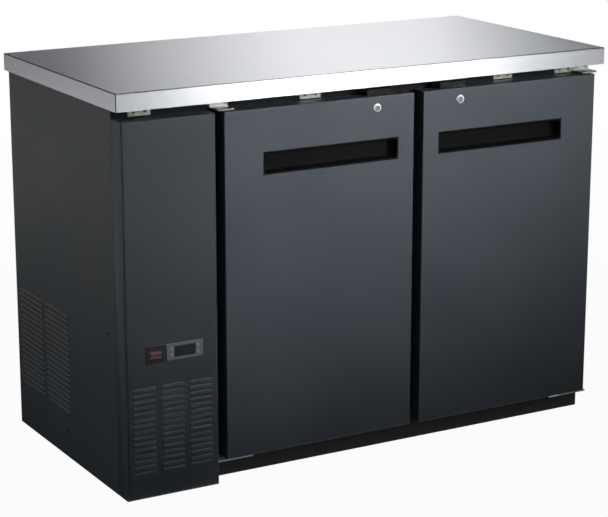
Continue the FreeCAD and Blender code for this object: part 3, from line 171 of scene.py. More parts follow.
fan_plastic = new_finish("moulded_polypropylene", "#1b1b1d", Roughness=0.45, IOR=1.49)
fan_plastic_grain = pattern(fan_plastic, mm=4.0, Detail=2.0)
vary(fan_plastic, fan_plastic_grain, ("#171719", "#222224"), (0.38, 0.52), relief=0.01)
coat(fan_plastic, "condenser_fan")

motor_steel = new_finish("lacquered_motor_steel", "#7d8184", Metallic=1.0, Roughness=0.4)
motor_steel_grain = pattern(motor_steel, mm=5.0, Detail=4.0)
vary(motor_steel, motor_steel_grain, ("#6c7073", "#8e9295"), (0.32, 0.5), relief=0.02)
coat(motor_steel, "condenser_fan_motor")

# ---------------------------------------------------------------- pipes, wiring box and gland
# The refrigerant runs in soft copper tube, dulled brown where it was handled and brazed.
# The wiring sits in a grey moulded ABS box, and the supply enters through a nylon gland.

copper = new_finish("soft_copper_tube", "#b87352", Metallic=1.0, Roughness=0.3)
vary(copper, pattern(copper, mm=22.0, Detail=5.0), ("#8d5540", "#c98462"), (0.24, 0.45))
coat(copper, "refrigerant_pipes")

grey_abs = new_finish("grey_moulded_abs", "#62656a", Roughness=0.5, IOR=1.54)
vary(grey_abs, pattern(grey_abs, mm=1.6, Detail=2.0), ("#5d6065", "#676a6f"), (0.45, 0.58), relief=0.03)
coat(grey_abs, "electrical_box")
coat(nylon, "cord_gland")

# ---------------------------------------------------------------- casing panels
# The casing is folded steel sheet, coil-coated in satin black. The paint is rolled on and baked.
# It gives a smooth surface with a very slight orange peel, and a soft shine.
# Louvres are pressed through the sheet: each is a slot under a shallow hood that is closed at its ends.

coated_steel = new_finish("coil_coated_black_steel", "#242a2f", Roughness=0.55, IOR=1.5)
orange_peel = 5.0
vary(coated_steel, pattern(coated_steel, mm=orange_peel, Detail=1.0), relief=0.012)
vary(coated_steel, pattern(coated_steel, mm=160.0, Detail=4.0), ("#21272c", "#272e33"), (0.52, 0.59))

casing_sheet = 1.2 * MM
vent_slot = 5.0 * MM
vent_pitch = 12.3 * MM
hood_height = 7.4 * MM
hood_end = 5.0 * MM
hood_segments = 16
hood_rings = 7
cut_tolerance = 1e-7
crease_angle = math.radians(35.0)


def slab(shape, low, high):
    """Adds a block between two corners, and returns its vertices."""
    low, high = Vector(low), Vector(high)
    made = bmesh.ops.create_cube(shape, size=1.0)["verts"]
    bmesh.ops.scale(shape, vec=high - low, verts=made)
    bmesh.ops.translate(shape, vec=(low + high) / 2, verts=made)
    return made


def face_towards(shape, direction):
    """The face that lies furthest in a direction and looks that way."""
    direction = Vector(direction)
    same_way = 0.99
    looking = [f for f in shape.faces if f.normal.dot(direction) > same_way]
    return max(looking, key=lambda f: (f.calc_center_median().dot(direction), f.calc_area()))


def open_slots(shape, face, along, openings):
    """Cuts rectangular openings in a flat face. Each is (low, high, z_low, z_high) along the face."""
    across = Vector((1, 0, 0)) if along == 0 else Vector((0, 1, 0))
    lines = {(0, round(end, 6)) for o in openings for end in o[:2]}
    lines |= {(1, round(end, 6)) for o in openings for end in o[2:]}
    region = {face}
    for axis, place in sorted(lines):
        normal = across if axis == 0 else Vector((0, 0, 1))
        geometry = list(region) + list({e for f in region for e in f.edges})
        geometry += list({v for f in region for v in f.verts})
        cut = bmesh.ops.bisect_plane(
            shape, geom=geometry, dist=cut_tolerance, plane_co=normal * place, plane_no=normal
        )
        region = {g for g in cut["geom"] if isinstance(g, bmesh.types.BMFace)}
    inside = []
    for piece_of_face in region:
        middle = piece_of_face.calc_center_median()
        if any(o[0] < middle[along] < o[1] and o[2] < middle.z < o[3] for o in openings):
            inside.append(piece_of_face)
    bmesh.ops.delete(shape, geom=inside, context="FACES")


def slot_grid(start, length, gap, columns, bottom, pitch, rows):
    """The slots of a vent, as (low, high, z_low, z_high)."""
    return [
        (start + c * (length + gap), start + c * (length + gap) + length, z, z + vent_slot)
        for c in range(columns)
        for z in (bottom + row * pitch for row in range(rows))
    ]


def hoods(shape, openings, surface, proud, turn):
    """Adds a pressed hood over each slot, on a wall that faces -Y before it is turned."""
    for low, high, z_low, z_high in openings:
        made = bmesh.ops.create_uvsphere(
            shape, u_segments=hood_segments, v_segments=hood_rings, radius=1.0
        )["verts"]
        bmesh.ops.rotate(shape, verts=made, matrix=Matrix.Rotation(math.radians(90), 3, "Y"))
        for normal in (Vector((0, 1, 0)), Vector((0, 0, -1))):
            held = [v for v in made if v.is_valid]
            geometry = held + list({e for v in held for e in v.link_edges})
            geometry += list({f for v in held for f in v.link_faces})
            cut = bmesh.ops.bisect_plane(
                shape,
                geom=geometry,
                dist=cut_tolerance,
                plane_co=(0, 0, 0),
                plane_no=normal,
                clear_outer=True,
            )
            made = [g for g in cut["geom"] if isinstance(g, bmesh.types.BMVert)]
        bmesh.ops.scale(shape, vec=(hood_end, proud, hood_height), verts=made)
        half = (high - low) / 2 - hood_end
        for v in made:
            v.co.x += math.copysign(half, v.co.x)
        place = Matrix.Translation(Vector(((low + high) / 2, 0, z_low)))
        bmesh.ops.transform(shape, matrix=surface @ turn @ place, verts=made)


def made_object(name, shape, finish):
    """Turns a shape into an object of that finish."""
    mesh = bpy.data.meshes.new(name)
    shape.to_mesh(mesh)
    shape.free()
    mesh.materials.append(finish)
    made = bpy.data.objects.new(name, mesh)
    bpy.context.scene.collection.objects.link(made)
    return made


def piece(name, shape, finish, body, slot, *stands_for, thickness=0.0):
    """Makes a finished object of a shape, and puts it in the place of CAD nodes."""
    bmesh.ops.recalc_face_normals(shape, faces=shape.faces[:])
    made = made_object(name, shape, finish)
    made.data.shade_smooth()
    made.data.set_sharp_from_angle(angle=crease_angle)
    if thickness:
        wall = made.modifiers.new("sheet", "SOLIDIFY")
        wall.thickness = thickness
        wall.offset = -1.0
    made.modifiers.new("even_flats", "WEIGHTED_NORMAL").keep_sharp = True
    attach(made, body)
    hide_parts(*stands_for)


def sheet_wall(low, high, axis, outward):
    """A flat sheet that covers one side of a box, as a shape with a single face."""
    shape = bmesh.new()
    slab(shape, low, high)
    direction = Vector((0, 0, 0))
    direction[axis] = outward
    keep = face_towards(shape, direction)
    bmesh.ops.delete(shape, geom=[f for f in shape.faces if f is not keep], context="FACES")
    return shape


left_low, left_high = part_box("left_side_panel")
side_vent_columns = 2
side_vent_rows = 19
side_vent_length = 128.0 * MM
side_vent_gap = 20.0 * MM
side_vent_rear = 24.0 * MM
side_vent_bottom = 106.0 * MM
side_hood_proud = 2.6 * MM
side_vents = slot_grid(
    left_high.y - side_vent_rear - side_vent_gap - side_vent_columns * side_vent_length,
    side_vent_length,
    side_vent_gap,
    side_vent_columns,
    side_vent_bottom,
    vent_pitch,
    side_vent_rows,
)
left_wall = sheet_wall(left_low, left_high, axis=0, outward=-1)
open_slots(left_wall, left_wall.faces[:][0], along=1, openings=side_vents)
quarter_turn = Matrix.Rotation(math.radians(-90), 4, "Z")
side_hoods = [(-high, -low, z_low, z_high) for low, high, z_low, z_high in side_vents]
left_plane = Matrix.Translation((left_low.x, 0, 0))
hoods(left_wall, side_hoods, left_plane, side_hood_proud, quarter_turn)
piece(
    "left_side_casing", left_wall, coated_steel, "cabinet", "black_casing",
    "left_side_panel", thickness=casing_sheet,
)
coat(coated_steel, "right_side_panel")

back_low, back_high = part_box("back_panel")
rear_vent_columns = 2
rear_vent_rows = 14
rear_vent_length = 70.0 * MM
rear_vent_gap = 16.0 * MM
rear_vent_bottom = 120.0 * MM
rear_hood_proud = 2.2 * MM
gland_rim = 4.0 * MM
gland_low, gland_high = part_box("cord_gland")
gland_centre = (gland_low + gland_high) / 2
rear_vents = slot_grid(
    gland_centre.x - rear_vent_length - rear_vent_gap / 2,
    rear_vent_length,
    rear_vent_gap,
    rear_vent_columns,
    rear_vent_bottom,
    vent_pitch,
    rear_vent_rows,
)
rear_wall = sheet_wall(back_low, back_high, axis=1, outward=1)
gland_hole = gland_high.x - gland_centre.x - gland_rim
gland_opening = (
    gland_centre.x - gland_hole, gland_centre.x + gland_hole,
    gland_centre.z - gland_hole, gland_centre.z + gland_hole,
)
open_slots(rear_wall, rear_wall.faces[:][0], along=0, openings=rear_vents + [gland_opening])
half_turn = Matrix.Rotation(math.radians(180), 4, "Z")
rear_hoods = [(-high, -low, z_low, z_high) for low, high, z_low, z_high in rear_vents]
rear_plane = Matrix.Translation((0, back_high.y, 0))
hoods(rear_wall, rear_hoods, rear_plane, rear_hood_proud, half_turn)
piece(
    "rear_casing", rear_wall, galvanised, "cabinet", "galvanised",
    "back_panel", thickness=casing_sheet,
)
coat(galvanised, "partition_panel")

# ---------------------------------------------------------------- insulation, liner and front frame
# The cabinet is filled with polyurethane foam, blown in place between the casing and the liner.
# The liner is stucco-embossed aluminium. The frame that the doors close on is painted black.

foam = new_finish("polyurethane_foam", "#d8cf9f", Roughness=0.9, IOR=1.5)
cells = pattern(foam, mm=3.0, kind="ShaderNodeTexVoronoi", output="Distance")
vary(foam, cells, ("#c9bd86", "#e3dcb4"), relief=0.4)
coat(foam, "cabinet_insulation")

liner_aluminium = new_finish("stucco_aluminium", "#b4b6b8", Metallic=1.0, Roughness=0.34)
stucco = pattern(liner_aluminium, mm=7.0, Detail=1.0, Distortion=0.6)
vary(liner_aluminium, stucco, ("#a9abad", "#bfc1c3"), (0.3, 0.42), relief=0.35)
coat(liner_aluminium, "inner_liner")

frame_paint = new_finish(
    "black_baked_paint", "#0a0b0d", Roughness=0.62, IOR=1.5, Specular_IOR_Level=0.18
)
frame_paint_grain = pattern(frame_paint, mm=4.0, Detail=2.0)
vary(frame_paint, frame_paint_grain, ("#08090b", "#0d0e11"), (0.56, 0.68), relief=0.01)
coat(frame_paint, "front_frame")

# ---------------------------------------------------------------- evaporator
# The evaporator hangs from the ceiling under a pressed aluminium cover, with its own coil and fan.
# They are made as the condenser's are: aluminium fins on copper tube, and moulded polypropylene.

coat(liner_aluminium, "evaporator_cover")
coat(fin_aluminium, "evaporator_coil")
coat(fan_plastic, "evaporator_fan")
coat(motor_steel, "evaporator_fan_motor")

# ---------------------------------------------------------------- shelves
# The shelves are welded steel wire, dipped in pale grey epoxy that pools a little at the welds.
# They rest on clips in slotted steel standards, screwed to the liner.

wire_epoxy = new_finish("epoxy_dipped_wire", "#d4d4cf", Roughness=0.35, IOR=1.5)
wire_epoxy_grain = pattern(wire_epoxy, mm=8.0, Detail=2.0)
vary(wire_epoxy, wire_epoxy_grain, ("#c8c8c3", "#dcdcd8"), (0.3, 0.45), relief=0.03)
coat(wire_epoxy, "shelf_left_lower", "shelf_left_upper", "shelf_right_lower", "shelf_right_upper")

bright_zinc = new_finish("bright_zinc_plate", "#9da09e", Metallic=1.0, Roughness=0.34)
vary(bright_zinc, pattern(bright_zinc, mm=10.0, Detail=4.0), ("#8b8f8d", "#acaeab"), (0.28, 0.42))
coat(bright_zinc, "shelf_supports")

# ---------------------------------------------------------------- doors
# Each door is a folded pan of coated steel, filled with foam, with an embossed aluminium inner panel.
# Nylon bushes at its top and bottom turn on the pins of zinc-plated hinges, bright at the top. The
# bottom hinges are a rougher, much lighter copy of the zinc: a painted highlight that keeps them bright
# in the shade under the doors. The lock strikes are black.

sides = ("left", "right")
door_steel = new_finish("coil_coated_door_steel", "#2d343b", Roughness=0.45, IOR=1.5)
vary(door_steel, pattern(door_steel, mm=orange_peel, Detail=1.0), relief=0.012)
vary(door_steel, pattern(door_steel, mm=190.0, Detail=4.0), ("#2a3138", "#31383f"), (0.42, 0.49))
for side in sides:
    coat(door_steel, side + "_door_skin")
    coat(foam, side + "_door_foam")
    coat(liner_aluminium, side + "_door_inner_panel")
    coat(nylon, side + "_hinge_bushes")
coat(bright_zinc, "top_hinges")
# A lighter copy of the zinc: a painted highlight for the bottom hinges, in the shade under the doors.
painted_lit_zinc = new_finish("tumbled_zinc_plate", "#d6d8d6", Metallic=1.0, Roughness=0.58)
vary(painted_lit_zinc, pattern(painted_lit_zinc, mm=6.0, Detail=4.0), ("#cccecb", "#dfe1df"), (0.52, 0.64))
coat(painted_lit_zinc, "bottom_hinges")
# The strikes are coloured near black all over.
black_zinc = new_finish("near_black_strike_zinc", "#2b2c2c", Metallic=1.0, Roughness=0.38)
vary(black_zinc, pattern(black_zinc, mm=8.0, Detail=4.0), ("#222323", "#363737"), (0.3, 0.46))
coat(black_zinc, "lock_strikes")

# ---------------------------------------------------------------- door gaskets
# A magnetic gasket of soft PVC is pushed into the back of each door. It has a foot, a thin bellows
# that lets it stretch, and a flat face over the magnet that lies against the frame.

gasket_pvc = new_finish("magnetic_gasket_pvc", "#1a1a1c", Roughness=0.6, IOR=1.52)
gasket_pvc_grain = pattern(gasket_pvc, mm=3.0, Detail=2.0)
vary(gasket_pvc, gasket_pvc_grain, ("#161617", "#202022"), (0.52, 0.7), relief=0.02)
gasket_steps = (
    # how far in, and how far out from the door, each fold of the profile goes, in mm
    (0.4, 2.6),
    (1.2, 0.4),
    (0.9, -1.4),
    (0.6, 1.2),
    (0.5, 5.0),
    (1.0, 0.9),
    (3.8, 0.0),
    (1.0, -0.9),
    (0.5, -5.0),
    (0.6, -1.2),
    (0.9, 1.4),
    (1.2, -0.4),
    (0.4, -2.6),
)


def make_gasket(side):
    low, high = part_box(side + "_door_gasket")
    shape = bmesh.new()
    slab(shape, low, (high.x, low.y + MM, high.z))
    keep = face_towards(shape, (0, 1, 0))
    bmesh.ops.delete(shape, geom=[f for f in shape.faces if f is not keep], context="FACES")
    bmesh.ops.translate(shape, vec=(0, -MM, 0), verts=shape.verts)
    outline = shape.edges[:]
    middle = shape.faces[:][0]
    for inwards, outwards in gasket_steps:
        bmesh.ops.inset_region(
            shape,
            faces=[middle],
            thickness=inwards * MM,
            depth=outwards * MM,
            use_boundary=True,
            use_even_offset=True,
        )
    inner = middle.edges[:]
    bmesh.ops.delete(shape, geom=[middle], context="FACES_ONLY")
    bmesh.ops.bridge_loops(shape, edges=outline + inner)
    piece(
        side + "_gasket", shape, gasket_pvc, side + "_door", "gasket_rubber", side + "_door_gasket"
    )


for side in sides:
    make_gasket(side)

# ---------------------------------------------------------------- handle pockets
# The pocket is a tray moulded in black ABS, with a grained surface and a thin lip round its mouth.
# Its walls lean inwards for the mould, and its corners and floor are well rounded for fingers.
# The grain is drawn coarser than the real one, so that it shows.

pocket_abs = new_finish(
    "grained_black_abs", "#070708", Roughness=0.7, IOR=1.54, Specular_IOR_Level=0.08
)
pocket_abs_grain = pattern(pocket_abs, mm=1.2, Detail=2.0)
vary(pocket_abs, pocket_abs_grain, ("#050506", "#0a0a0b"), (0.62, 0.76), relief=0.03)
pocket_lip = 3.0 * MM
pocket_lip_proud = 1.0 * MM
pocket_wall = 2.0 * MM
pocket_draught = 1.0 * MM
pocket_round = 7.0 * MM
lip_round = 0.6 * MM


def soften(shape, edges, radius, segments):
    """Rounds edges."""
    bmesh.ops.bevel(
        shape,
        geom=edges,
        offset=radius,
        offset_type="OFFSET",
        segments=segments,
        profile=0.5,
        affect="EDGES",
        material=-1,
        clamp_overlap=True,
    )


def edges_on(shape, axis, value):
    """The edges whose two ends both have that value along an axis."""
    near = 1e-5
    return [e for e in shape.edges if all(abs(v.co[axis] - value) < near for v in e.verts)]


def make_pocket(side):
    low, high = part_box(side + "_handle_pocket")
    shape = bmesh.new()
    slab(shape, low, (high.x, low.y + pocket_lip_proud, high.z))
    rim = edges_on(shape, axis=1, value=low.y)
    rear = face_towards(shape, (0, 1, 0))
    bmesh.ops.inset_region(shape, faces=[rear], thickness=pocket_lip)
    tray_depth = high.y - low.y - pocket_lip_proud
    bmesh.ops.inset_region(shape, faces=[rear], thickness=pocket_draught, depth=tray_depth)
    soften(shape, rim, lip_round, segments=2)
    mouth = face_towards(shape, (0, -1, 0))
    bmesh.ops.inset_region(shape, faces=[mouth], thickness=pocket_lip + pocket_wall - lip_round)
    cavity = high.y - low.y - pocket_wall
    bmesh.ops.inset_region(shape, faces=[mouth], thickness=pocket_draught, depth=-cavity)
    corners = {e for v in mouth.verts for e in v.link_edges}
    soften(shape, list(corners), pocket_round, segments=5)
    piece(
        side + "_pocket_tray", shape, pocket_abs, side + "_door", "pocket_plastic",
        side + "_handle_pocket",
    )


for side in sides:
    make_pocket(side)

# ---------------------------------------------------------------- locks
# The lock barrel is a zinc die casting with a satin chrome plate and a bevelled rim. The plug that the
# key turns in it is plated in duller nickel, and its cam rises behind a strike above the door.

chrome = new_finish("satin_chrome_plate", "#e6e8ea", Metallic=1.0, Roughness=0.42)
vary(chrome, pattern(chrome, mm=2.5, Detail=3.0), ("#dfe1e3", "#edeff1"), (0.37, 0.47))
dull_nickel = new_finish("dull_nickel_plate", "#7f8183", Metallic=1.0, Roughness=0.45)
vary(dull_nickel, pattern(dull_nickel, mm=2.5, Detail=3.0), ("#777a7c", "#898b8d"), (0.4, 0.5))
lock_bore = 6.05 * MM
lock_body = 8.0 * MM
lock_bore_edge = 0.5 * MM
lock_rim_bevel = (
    # how far in from the rim, and how far back from the face, each point of the bevel lies, in mm
    (1.9, 0.0),
    (0.9, 0.35),
    (0.25, 0.95),
    (0.0, 1.5),
)
lock_steps = 48


def make_lock_barrel(side):
    low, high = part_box(side + "_lock_barrel")
    middle = (low + high) / 2
    rim = (high.x - low.x) / 2
    face, flange_back, back = low.y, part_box(side + "_door_skin")[0].y, high.y
    outline = (
        (lock_bore, back),
        (lock_bore, face + lock_bore_edge),
        (lock_bore + lock_bore_edge, face),
        *((rim - inwards * MM, face + backwards * MM) for inwards, backwards in lock_rim_bevel),
        (rim, flange_back),
        (lock_body, flange_back),
        (lock_body, back),
    )
    shape = bmesh.new()
    points = [shape.verts.new((middle.x + r, y, middle.z)) for r, y in outline]
    ring = [shape.edges.new(pair) for pair in zip(points, points[1:] + points[:1])]
    bmesh.ops.spin(
        shape,
        geom=points + ring,
        cent=middle,
        axis=(0, 1, 0),
        angle=math.radians(360),
        steps=lock_steps,
        use_merge=True,
    )
    piece(
        side + "_lock_body", shape, chrome, side + "_door", "chrome_lock", side + "_lock_barrel"
    )


for side in sides:
    make_lock_barrel(side)
    coat(dull_nickel, side + "_lock_plug")

# ---------------------------------------------------------------- front grille panel
# The panel in front of the machinery is folded from the same sheet, with three columns of louvres
# pressed through its lower part. It has deep returns, and it is cut out for the two controls.

panel_low, panel_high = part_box("grille_panel")
panel_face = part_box("left_door_skin")[0].y
panel_seam = 1.6 * MM
panel_round = 2.2 * MM
corner_post = 3.0 * MM
louvre_columns = 3
louvre_rows = 15
louvre_length = 55.0 * MM
louvre_gap = 11.0 * MM
louvre_inset = 14.0 * MM
louvre_bottom = 54.0 * MM
louvre_pitch = 13.2 * MM
louvre_proud = 2.0 * MM
controller_cutout = (74.0 * MM, 29.0 * MM)
switch_cutout = (30.0 * MM, 27.0 * MM)
control_clearance = 0.5 * MM
grille_shape = bmesh.new()
slab(
    grille_shape,
    (panel_low.x, panel_face, panel_low.z),
    (panel_high.x, panel_high.y - panel_seam, panel_high.z),
)
rear_face = face_towards(grille_shape, (0, 1, 0))
bmesh.ops.delete(grille_shape, geom=[rear_face], context="FACES_ONLY")
soften(grille_shape, edges_on(grille_shape, axis=1, value=panel_face), panel_round, segments=4)
grille_openings = slot_grid(
    panel_low.x + louvre_inset,
    louvre_length,
    louvre_gap,
    louvre_columns,
    louvre_bottom,
    louvre_pitch,
    louvre_rows,
)
control_holes = []
for node, cutout in (("controller_body", controller_cutout), ("switch_housing", switch_cutout)):
    control_low, control_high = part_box(node)
    middle = (control_low + control_high) / 2
    half_width, half_height = ((size + control_clearance) / 2 for size in cutout)
    control_holes.append(
        (middle.x - half_width, middle.x + half_width, middle.z - half_height, middle.z + half_height)
    )
corner_seam = (
    panel_low.x + corner_post, panel_low.x + corner_post + panel_seam,
    panel_low.z + 2 * panel_round, panel_high.z - 2 * panel_round,
)
front_face = face_towards(grille_shape, (0, -1, 0))
panel_openings = grille_openings + control_holes + [corner_seam]
open_slots(grille_shape, front_face, along=0, openings=panel_openings)
no_turn = Matrix.Identity(4)
face_plane = Matrix.Translation((0, panel_face, 0))
hoods(grille_shape, grille_openings, face_plane, louvre_proud, no_turn)
piece(
    "front_grille", grille_shape, coated_steel, "cabinet", "black_casing", "grille_panel",
    thickness=casing_sheet,
)

# ---------------------------------------------------------------- controls
# The controller and the rocker switch snap into the front panel. The controller's body is slate grey
# ABS with lighter grey keys and a smoked acrylic window. The switch has a black ABS housing and a dull
# red polycarbonate rocker. The ABS has a faint grain, drawn coarser than the real one.

control_abs = new_finish("satin_black_abs", "#141517", Roughness=0.4, IOR=1.54)
control_abs_grain = pattern(control_abs, mm=1.0, Detail=2.0)
vary(control_abs, control_abs_grain, ("#111214", "#191a1c"), (0.35, 0.46), relief=0.01)
coat(control_abs, "switch_housing")
bezel_abs = new_finish("slate_grey_abs", "#53575d", Roughness=0.42, IOR=1.54)
bezel_abs_grain = pattern(bezel_abs, mm=1.0, Detail=2.0)
vary(bezel_abs, bezel_abs_grain, ("#4f5359", "#585c62"), (0.38, 0.48), relief=0.01)
coat(bezel_abs, "controller_body")
smoked_acrylic = new_finish("smoked_acrylic", "#23272b", Roughness=0.14, IOR=1.49)
vary(smoked_acrylic, pattern(smoked_acrylic, mm=12.0, Detail=3.0), ("#202428", "#272b30"), (0.1, 0.18))
coat(smoked_acrylic, "controller_window")
key_abs = new_finish("grey_key_abs", "#6c7076", Roughness=0.45, IOR=1.54)
vary(key_abs, pattern(key_abs, mm=1.0, Detail=2.0), ("#666a70", "#74787e"), (0.4, 0.52), relief=0.01)
coat(key_abs, "key_set", "key_up", "key_defrost", "key_down")
red_plastic = new_finish(
    "red_polycarbonate", "#4a3037", Roughness=0.55, IOR=1.58, Specular_IOR_Level=0.3
)
vary(red_plastic, pattern(red_plastic, mm=6.0, Detail=2.0), ("#412930", "#53383f"), (0.5, 0.62))
coat(red_plastic, "switch_rocker")

# ---------------------------------------------------------------- worktop
# The worktop is one folded sheet of stainless steel over a chipboard core, brushed along its length.
# Brushing leaves fine parallel scratches, which stretch a reflection across the grain. They are drawn
# coarser than real ones. Clips of yellow-passivated zinc under the front edge hold it to the cabinet.

stainless = new_finish("brushed_stainless", "#d0d2d5", Metallic=1.0, Roughness=0.25, Anisotropic=0.85)
brush_spacing = 1.4
brush_length = 420.0
strokes = pattern(
    stainless, mm=brush_spacing, drawn_out=(brush_length / brush_spacing, 1, 1), Detail=3.0
)
vary(stainless, strokes, ("#cdcfd3", "#d3d5d9"), (0.243, 0.257))
stainless_links = stainless.node_tree.links
stainless_shader = stainless.node_tree.nodes["Principled BSDF"]
outwards = add(stainless, "ShaderNodeNewGeometry", {}, {}).outputs["Normal"]
unsigned = add(stainless, "ShaderNodeVectorMath", {"operation": "ABSOLUTE"}, {0: outwards})
facing = add(stainless, "ShaderNodeSeparateXYZ", {}, {"Vector": unsigned.outputs[0]}).outputs
upright = add(stainless, "ShaderNodeMath", {"operation": "SUBTRACT", 0: 1.0}, {1: facing["Z"]})
across = add(stainless, "ShaderNodeCombineXYZ", {}, {"Y": facing["Z"], "Z": upright.outputs[0]})
stainless_links.new(across.outputs["Vector"], stainless_shader.inputs["Tangent"])
# Where the sheet turns down at a fold, it faces no single axis. There its colour is darkened: a painted
# shade line, standing in for the dark reflection along the bend.
fold_part = 0.97
flat_part = 0.999
painted_fold_shade = 0.06
wider = add(stainless, "ShaderNodeMath", {"operation": "MAXIMUM"}, {0: facing["X"], 1: facing["Y"]})
widest = add(
    stainless,
    "ShaderNodeMath",
    {"operation": "MAXIMUM"},
    {0: wider.outputs[0], 1: facing["Z"]},
)
folded = add(
    stainless,
    "ShaderNodeMapRange",
    {"From Min": fold_part, "From Max": flat_part, "To Min": painted_fold_shade, "To Max": 1.0},
    {"Value": widest.outputs[0]},
)
plain_colour = stainless_shader.inputs["Base Color"].links[0].from_socket
fold_shaded_colour = add(
    stainless,
    "ShaderNodeVectorMath",
    {"operation": "MULTIPLY"},
    {0: plain_colour, 1: folded.outputs["Result"]},
)
stainless_links.new(fold_shaded_colour.outputs[0], stainless_shader.inputs["Base Color"])
coat(stainless, "worktop")

yellow_zinc = new_finish("yellow_passivated_zinc", "#a3a49b", Metallic=1.0, Roughness=0.45)
vary(yellow_zinc, pattern(yellow_zinc, mm=8.0, Detail=4.0), ("#8f9087", "#b5b6ac"), (0.4, 0.52))
coat(yellow_zinc, "worktop_clips")

chipboard = new_finish("chipboard", "#a98f68", Roughness=0.85, IOR=1.5)
chips = pattern(chipboard, mm=9.0, kind="ShaderNodeTexVoronoi", drawn_out=(2, 1, 1), output="Distance")
vary(chipboard, chips, ("#8e7450", "#bda37a"), (0.8, 0.9), relief=0.15, spread=(0.1, 0.8))
coat(chipboard, "worktop_core")

# ---------------------------------------------------------------- screws
# The panels and brackets are held by pan-head steel screws. They are blackened with oxide and lightly
# oiled, which leaves a dark grey with a soft shine.

black_oxide = new_finish("black_oxide_steel", "#3a3b3e", Metallic=1.0, Roughness=0.4)
vary(black_oxide, pattern(black_oxide, mm=3.0, Detail=3.0), ("#2d2e31", "#48494c"), (0.3, 0.5))
coat(black_oxide, "screws")

# ---------------------------------------------------------------- studio
# A pale floor runs into a white backdrop, with soft lamps in front, to the left and overhead. The front
# light has two parts: a soft box that reflections don't show, and a strip that they do. Shaded cards,
# which nothing but reflections shows, give the bright steel something to mirror.


def seen_directly(finish):
    """1 for rays from the camera, or those that mirror or pass through, and 0 for soft light."""
    light_path = add(finish, "ShaderNodeLightPath", {}, {})
    mirrored = add(
        finish,
        "ShaderNodeMath",
        {"operation": "MAXIMUM"},
        {0: light_path.outputs["Is Camera Ray"], 1: light_path.outputs["Is Glossy Ray"]},
    )
    return add(
        finish,
        "ShaderNodeMath",
        {"operation": "MAXIMUM"},
        {0: mirrored.outputs[0], 1: light_path.outputs["Is Transmission Ray"]},
    ).outputs[0]


def bare_paint(name):
    """A material that has no shader yet."""
    paint = bpy.data.materials.new(name)
    paint.use_nodes = True
    nodes = paint.node_tree.nodes
    nodes.remove(nodes["Principled BSDF"])
    return paint


def show(paint, shader):
    """Makes a shader what the material shows."""
    surface = paint.node_tree.nodes["Material Output"].inputs["Surface"]
    paint.node_tree.links.new(shader.outputs[0], surface)


floor_half = 30.0
shade_to_soft_light = 0.2
shade_to_sight = 0.9
shadow_share = 0.96
fade_from = 1.2
fade_to = 4.0
floor_paint = bare_paint("pale_floor")
floor_seen = seen_directly(floor_paint)
floor_shade = add(
    floor_paint,
    "ShaderNodeMapRange",
    {"To Min": shade_to_soft_light, "To Max": shade_to_sight},
    {"Value": floor_seen},
)
floor_matt = add(floor_paint, "ShaderNodeBsdfDiffuse", {}, {"Color": floor_shade.outputs["Result"]})
floor_glow = add(floor_paint, "ShaderNodeEmission", {"Strength": 1.0}, {})
floor_place = add(floor_paint, "ShaderNodeTexCoord", {}, {})
floor_reach = add(
    floor_paint,
    "ShaderNodeVectorMath",
    {"operation": "LENGTH"},
    {0: floor_place.outputs["Object"]},
)
floor_fade = add(
    floor_paint,
    "ShaderNodeMapRange",
    {"From Min": fade_from, "From Max": fade_to, "To Min": shadow_share, "To Max": 1.0},
    {"Value": floor_reach.outputs["Value"]},
)
floor_share = add(
    floor_paint,
    "ShaderNodeMath",
    {"operation": "MULTIPLY"},
    {0: floor_seen, 1: floor_fade.outputs["Result"]},
)
floor_mix = add(
    floor_paint,
    "ShaderNodeMixShader",
    {},
    {0: floor_share.outputs[0], 1: floor_matt.outputs[0], 2: floor_glow.outputs[0]},
)
show(floor_paint, floor_mix)
floor_shape = bmesh.new()
bmesh.ops.create_grid(floor_shape, x_segments=1, y_segments=1, size=floor_half)
floor = made_object("floor", floor_shape, floor_paint)

sky_to_soft_light = 0.18
world = bpy.data.worlds.new("studio")
bpy.context.scene.world = world
world.use_nodes = True
sky = world.node_tree.nodes["Background"]
sky_strength = add(
    world,
    "ShaderNodeMapRange",
    {"To Min": sky_to_soft_light, "To Max": 1.0},
    {"Value": seen_directly(world)},
)
world.node_tree.links.new(sky_strength.outputs["Result"], sky.inputs["Strength"])
sky.inputs["Color"].default_value = (1.0, 1.0, 1.0, 1.0)


def lamp(name, place, aim, width, height, power, spread=180.0):
    """A soft box of that size in metres, hung at a place and aimed at a point."""
    light = bpy.data.lights.new(name, "AREA")
    light.shape = "RECTANGLE"
    light.size = width
    light.size_y = height
    light.energy = power
    light.spread = math.radians(spread)
    holder = bpy.data.objects.new(name, light)
    bpy.context.scene.collection.objects.link(holder)
    holder.location = place
    holder.rotation_euler = (Vector(aim) - Vector(place)).to_track_quat("-Z", "Y").to_euler()
    holder.visible_camera = False
    return holder


centre = (cad_box[0] + cad_box[1]) / 2
top_front = Vector((centre.x, cad_box[0].y, cad_box[1].z))
front_aim = top_front + Vector((0.03, 0, 0.42))
soft_front = lamp(
    "front_soft_box", (1.0, -3.2, 2.15), front_aim, width=1.3, height=1.85, power=7.6, spread=22.0
)
soft_front.visible_glossy = False
lamp("front_strip", (1.72, -3.2, 2.15), front_aim, width=1.1, height=1.85, power=4.8, spread=22.0)
lamp("left_soft_box", (-2.6, -0.6, 2.2), top_front, width=1.4, height=1.4, power=12.0)
lamp("top_soft_box", (1.4, 0.3, 3.0), centre, width=1.2, height=1.2, power=9.0)

card_glow = 1.2


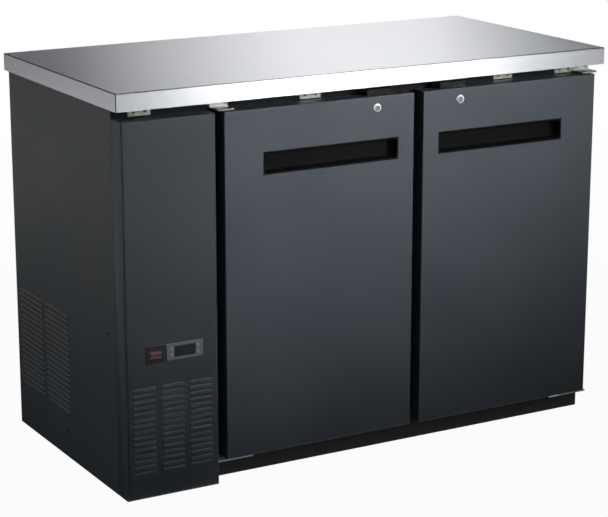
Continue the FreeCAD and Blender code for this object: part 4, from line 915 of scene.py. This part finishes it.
def card(name, low, high, axis, shades):
    """A thin glowing board between two corners, shaded along an axis, that only reflections show."""
    paint = bare_paint(name)
    place = add(paint, "ShaderNodeTexCoord", {}, {})
    along = add(paint, "ShaderNodeSeparateXYZ", {}, {"Vector": place.outputs["Object"]})
    start = "XYZ".index(axis)
    ends = {"From Min": low[start], "From Max": high[start]}
    share = add(paint, "ShaderNodeMapRange", ends, {"Value": along.outputs[axis]})
    shading = add(paint, "ShaderNodeValToRGB", {}, {"Fac": share.outputs["Result"]})
    ramp = shading.color_ramp
    ramp.elements.remove(ramp.elements[1])
    ramp.elements[0].color = linear(shades[0][1])
    for position, shade in shades[1:]:
        ramp.elements.new(position).color = linear(shade)
    glow = add(
        paint, "ShaderNodeEmission", {"Strength": card_glow}, {"Color": shading.outputs["Color"]}
    )
    show(paint, glow)
    board_shape = bmesh.new()
    slab(board_shape, low, high)
    board = made_object(name, board_shape, paint)
    board.visible_camera = False
    board.visible_diffuse = False
    board.visible_shadow = False
    board.visible_transmission = False


card(
    "rear_card",
    low=(-3.5, 3.4, 0.02),
    high=(6.5, 3.42, 12.0),
    axis="X",
    shades=(
        (0.0, "#909090"),
        (0.3, "#606060"),
        (0.42, "#1c1e20"),
        (0.44, "#2c2f32"),
        (0.545, "#f8f8f8"),
        (0.61, "#ffffff"),
        (0.70, "#606468"),
        (1.0, "#404448"),
    ),
)
card(
    "floor_card",
    low=(-2.2, -3.3, 0.001),
    high=(3.2, -0.3, 0.002),
    axis="Y",
    shades=((0.0, "#909090"), (0.2, "#b0b0b0"), (0.4, "#b0b0b0"), (0.75, "#202020"), (1.0, "#080808")),
)
card(
    "front_card",
    low=(-4.0, -5.02, 0.2),
    high=(7.0, -5.0, 5.0),
    axis="Z",
    shades=((0.0, "#303030"), (0.3, "#404040"), (1.0, "#505050")),
)
card(
    "left_floor_card",
    low=(-2.2, -0.3, 0.001),
    high=(-0.6, 2.2, 0.002),
    axis="X",
    shades=((0.0, "#808080"), (0.5, "#404040"), (0.9, "#101010")),
)

camera_azimuth = -29.68
camera_pitch = 14.8
camera_distance = 4.5
camera_lens = 119.6
camera_aim = centre + Vector((-0.092, -0.149, -0.005))
camera_data = bpy.data.cameras.new("camera")
camera_data.lens = camera_lens
camera_data.sensor_width = 36.0
camera = bpy.data.objects.new("camera", camera_data)
bpy.context.scene.collection.objects.link(camera)
round_object, down = math.radians(camera_azimuth), math.radians(camera_pitch)
back = Vector(
    (math.sin(round_object) * math.cos(down), -math.cos(round_object) * math.cos(down), math.sin(down))
)
camera.location = camera_aim + back * camera_distance
camera.rotation_euler = (-back).to_track_quat("-Z", "Y").to_euler()
bpy.context.scene.camera = camera
bpy.context.scene.view_settings.view_transform = "Standard"
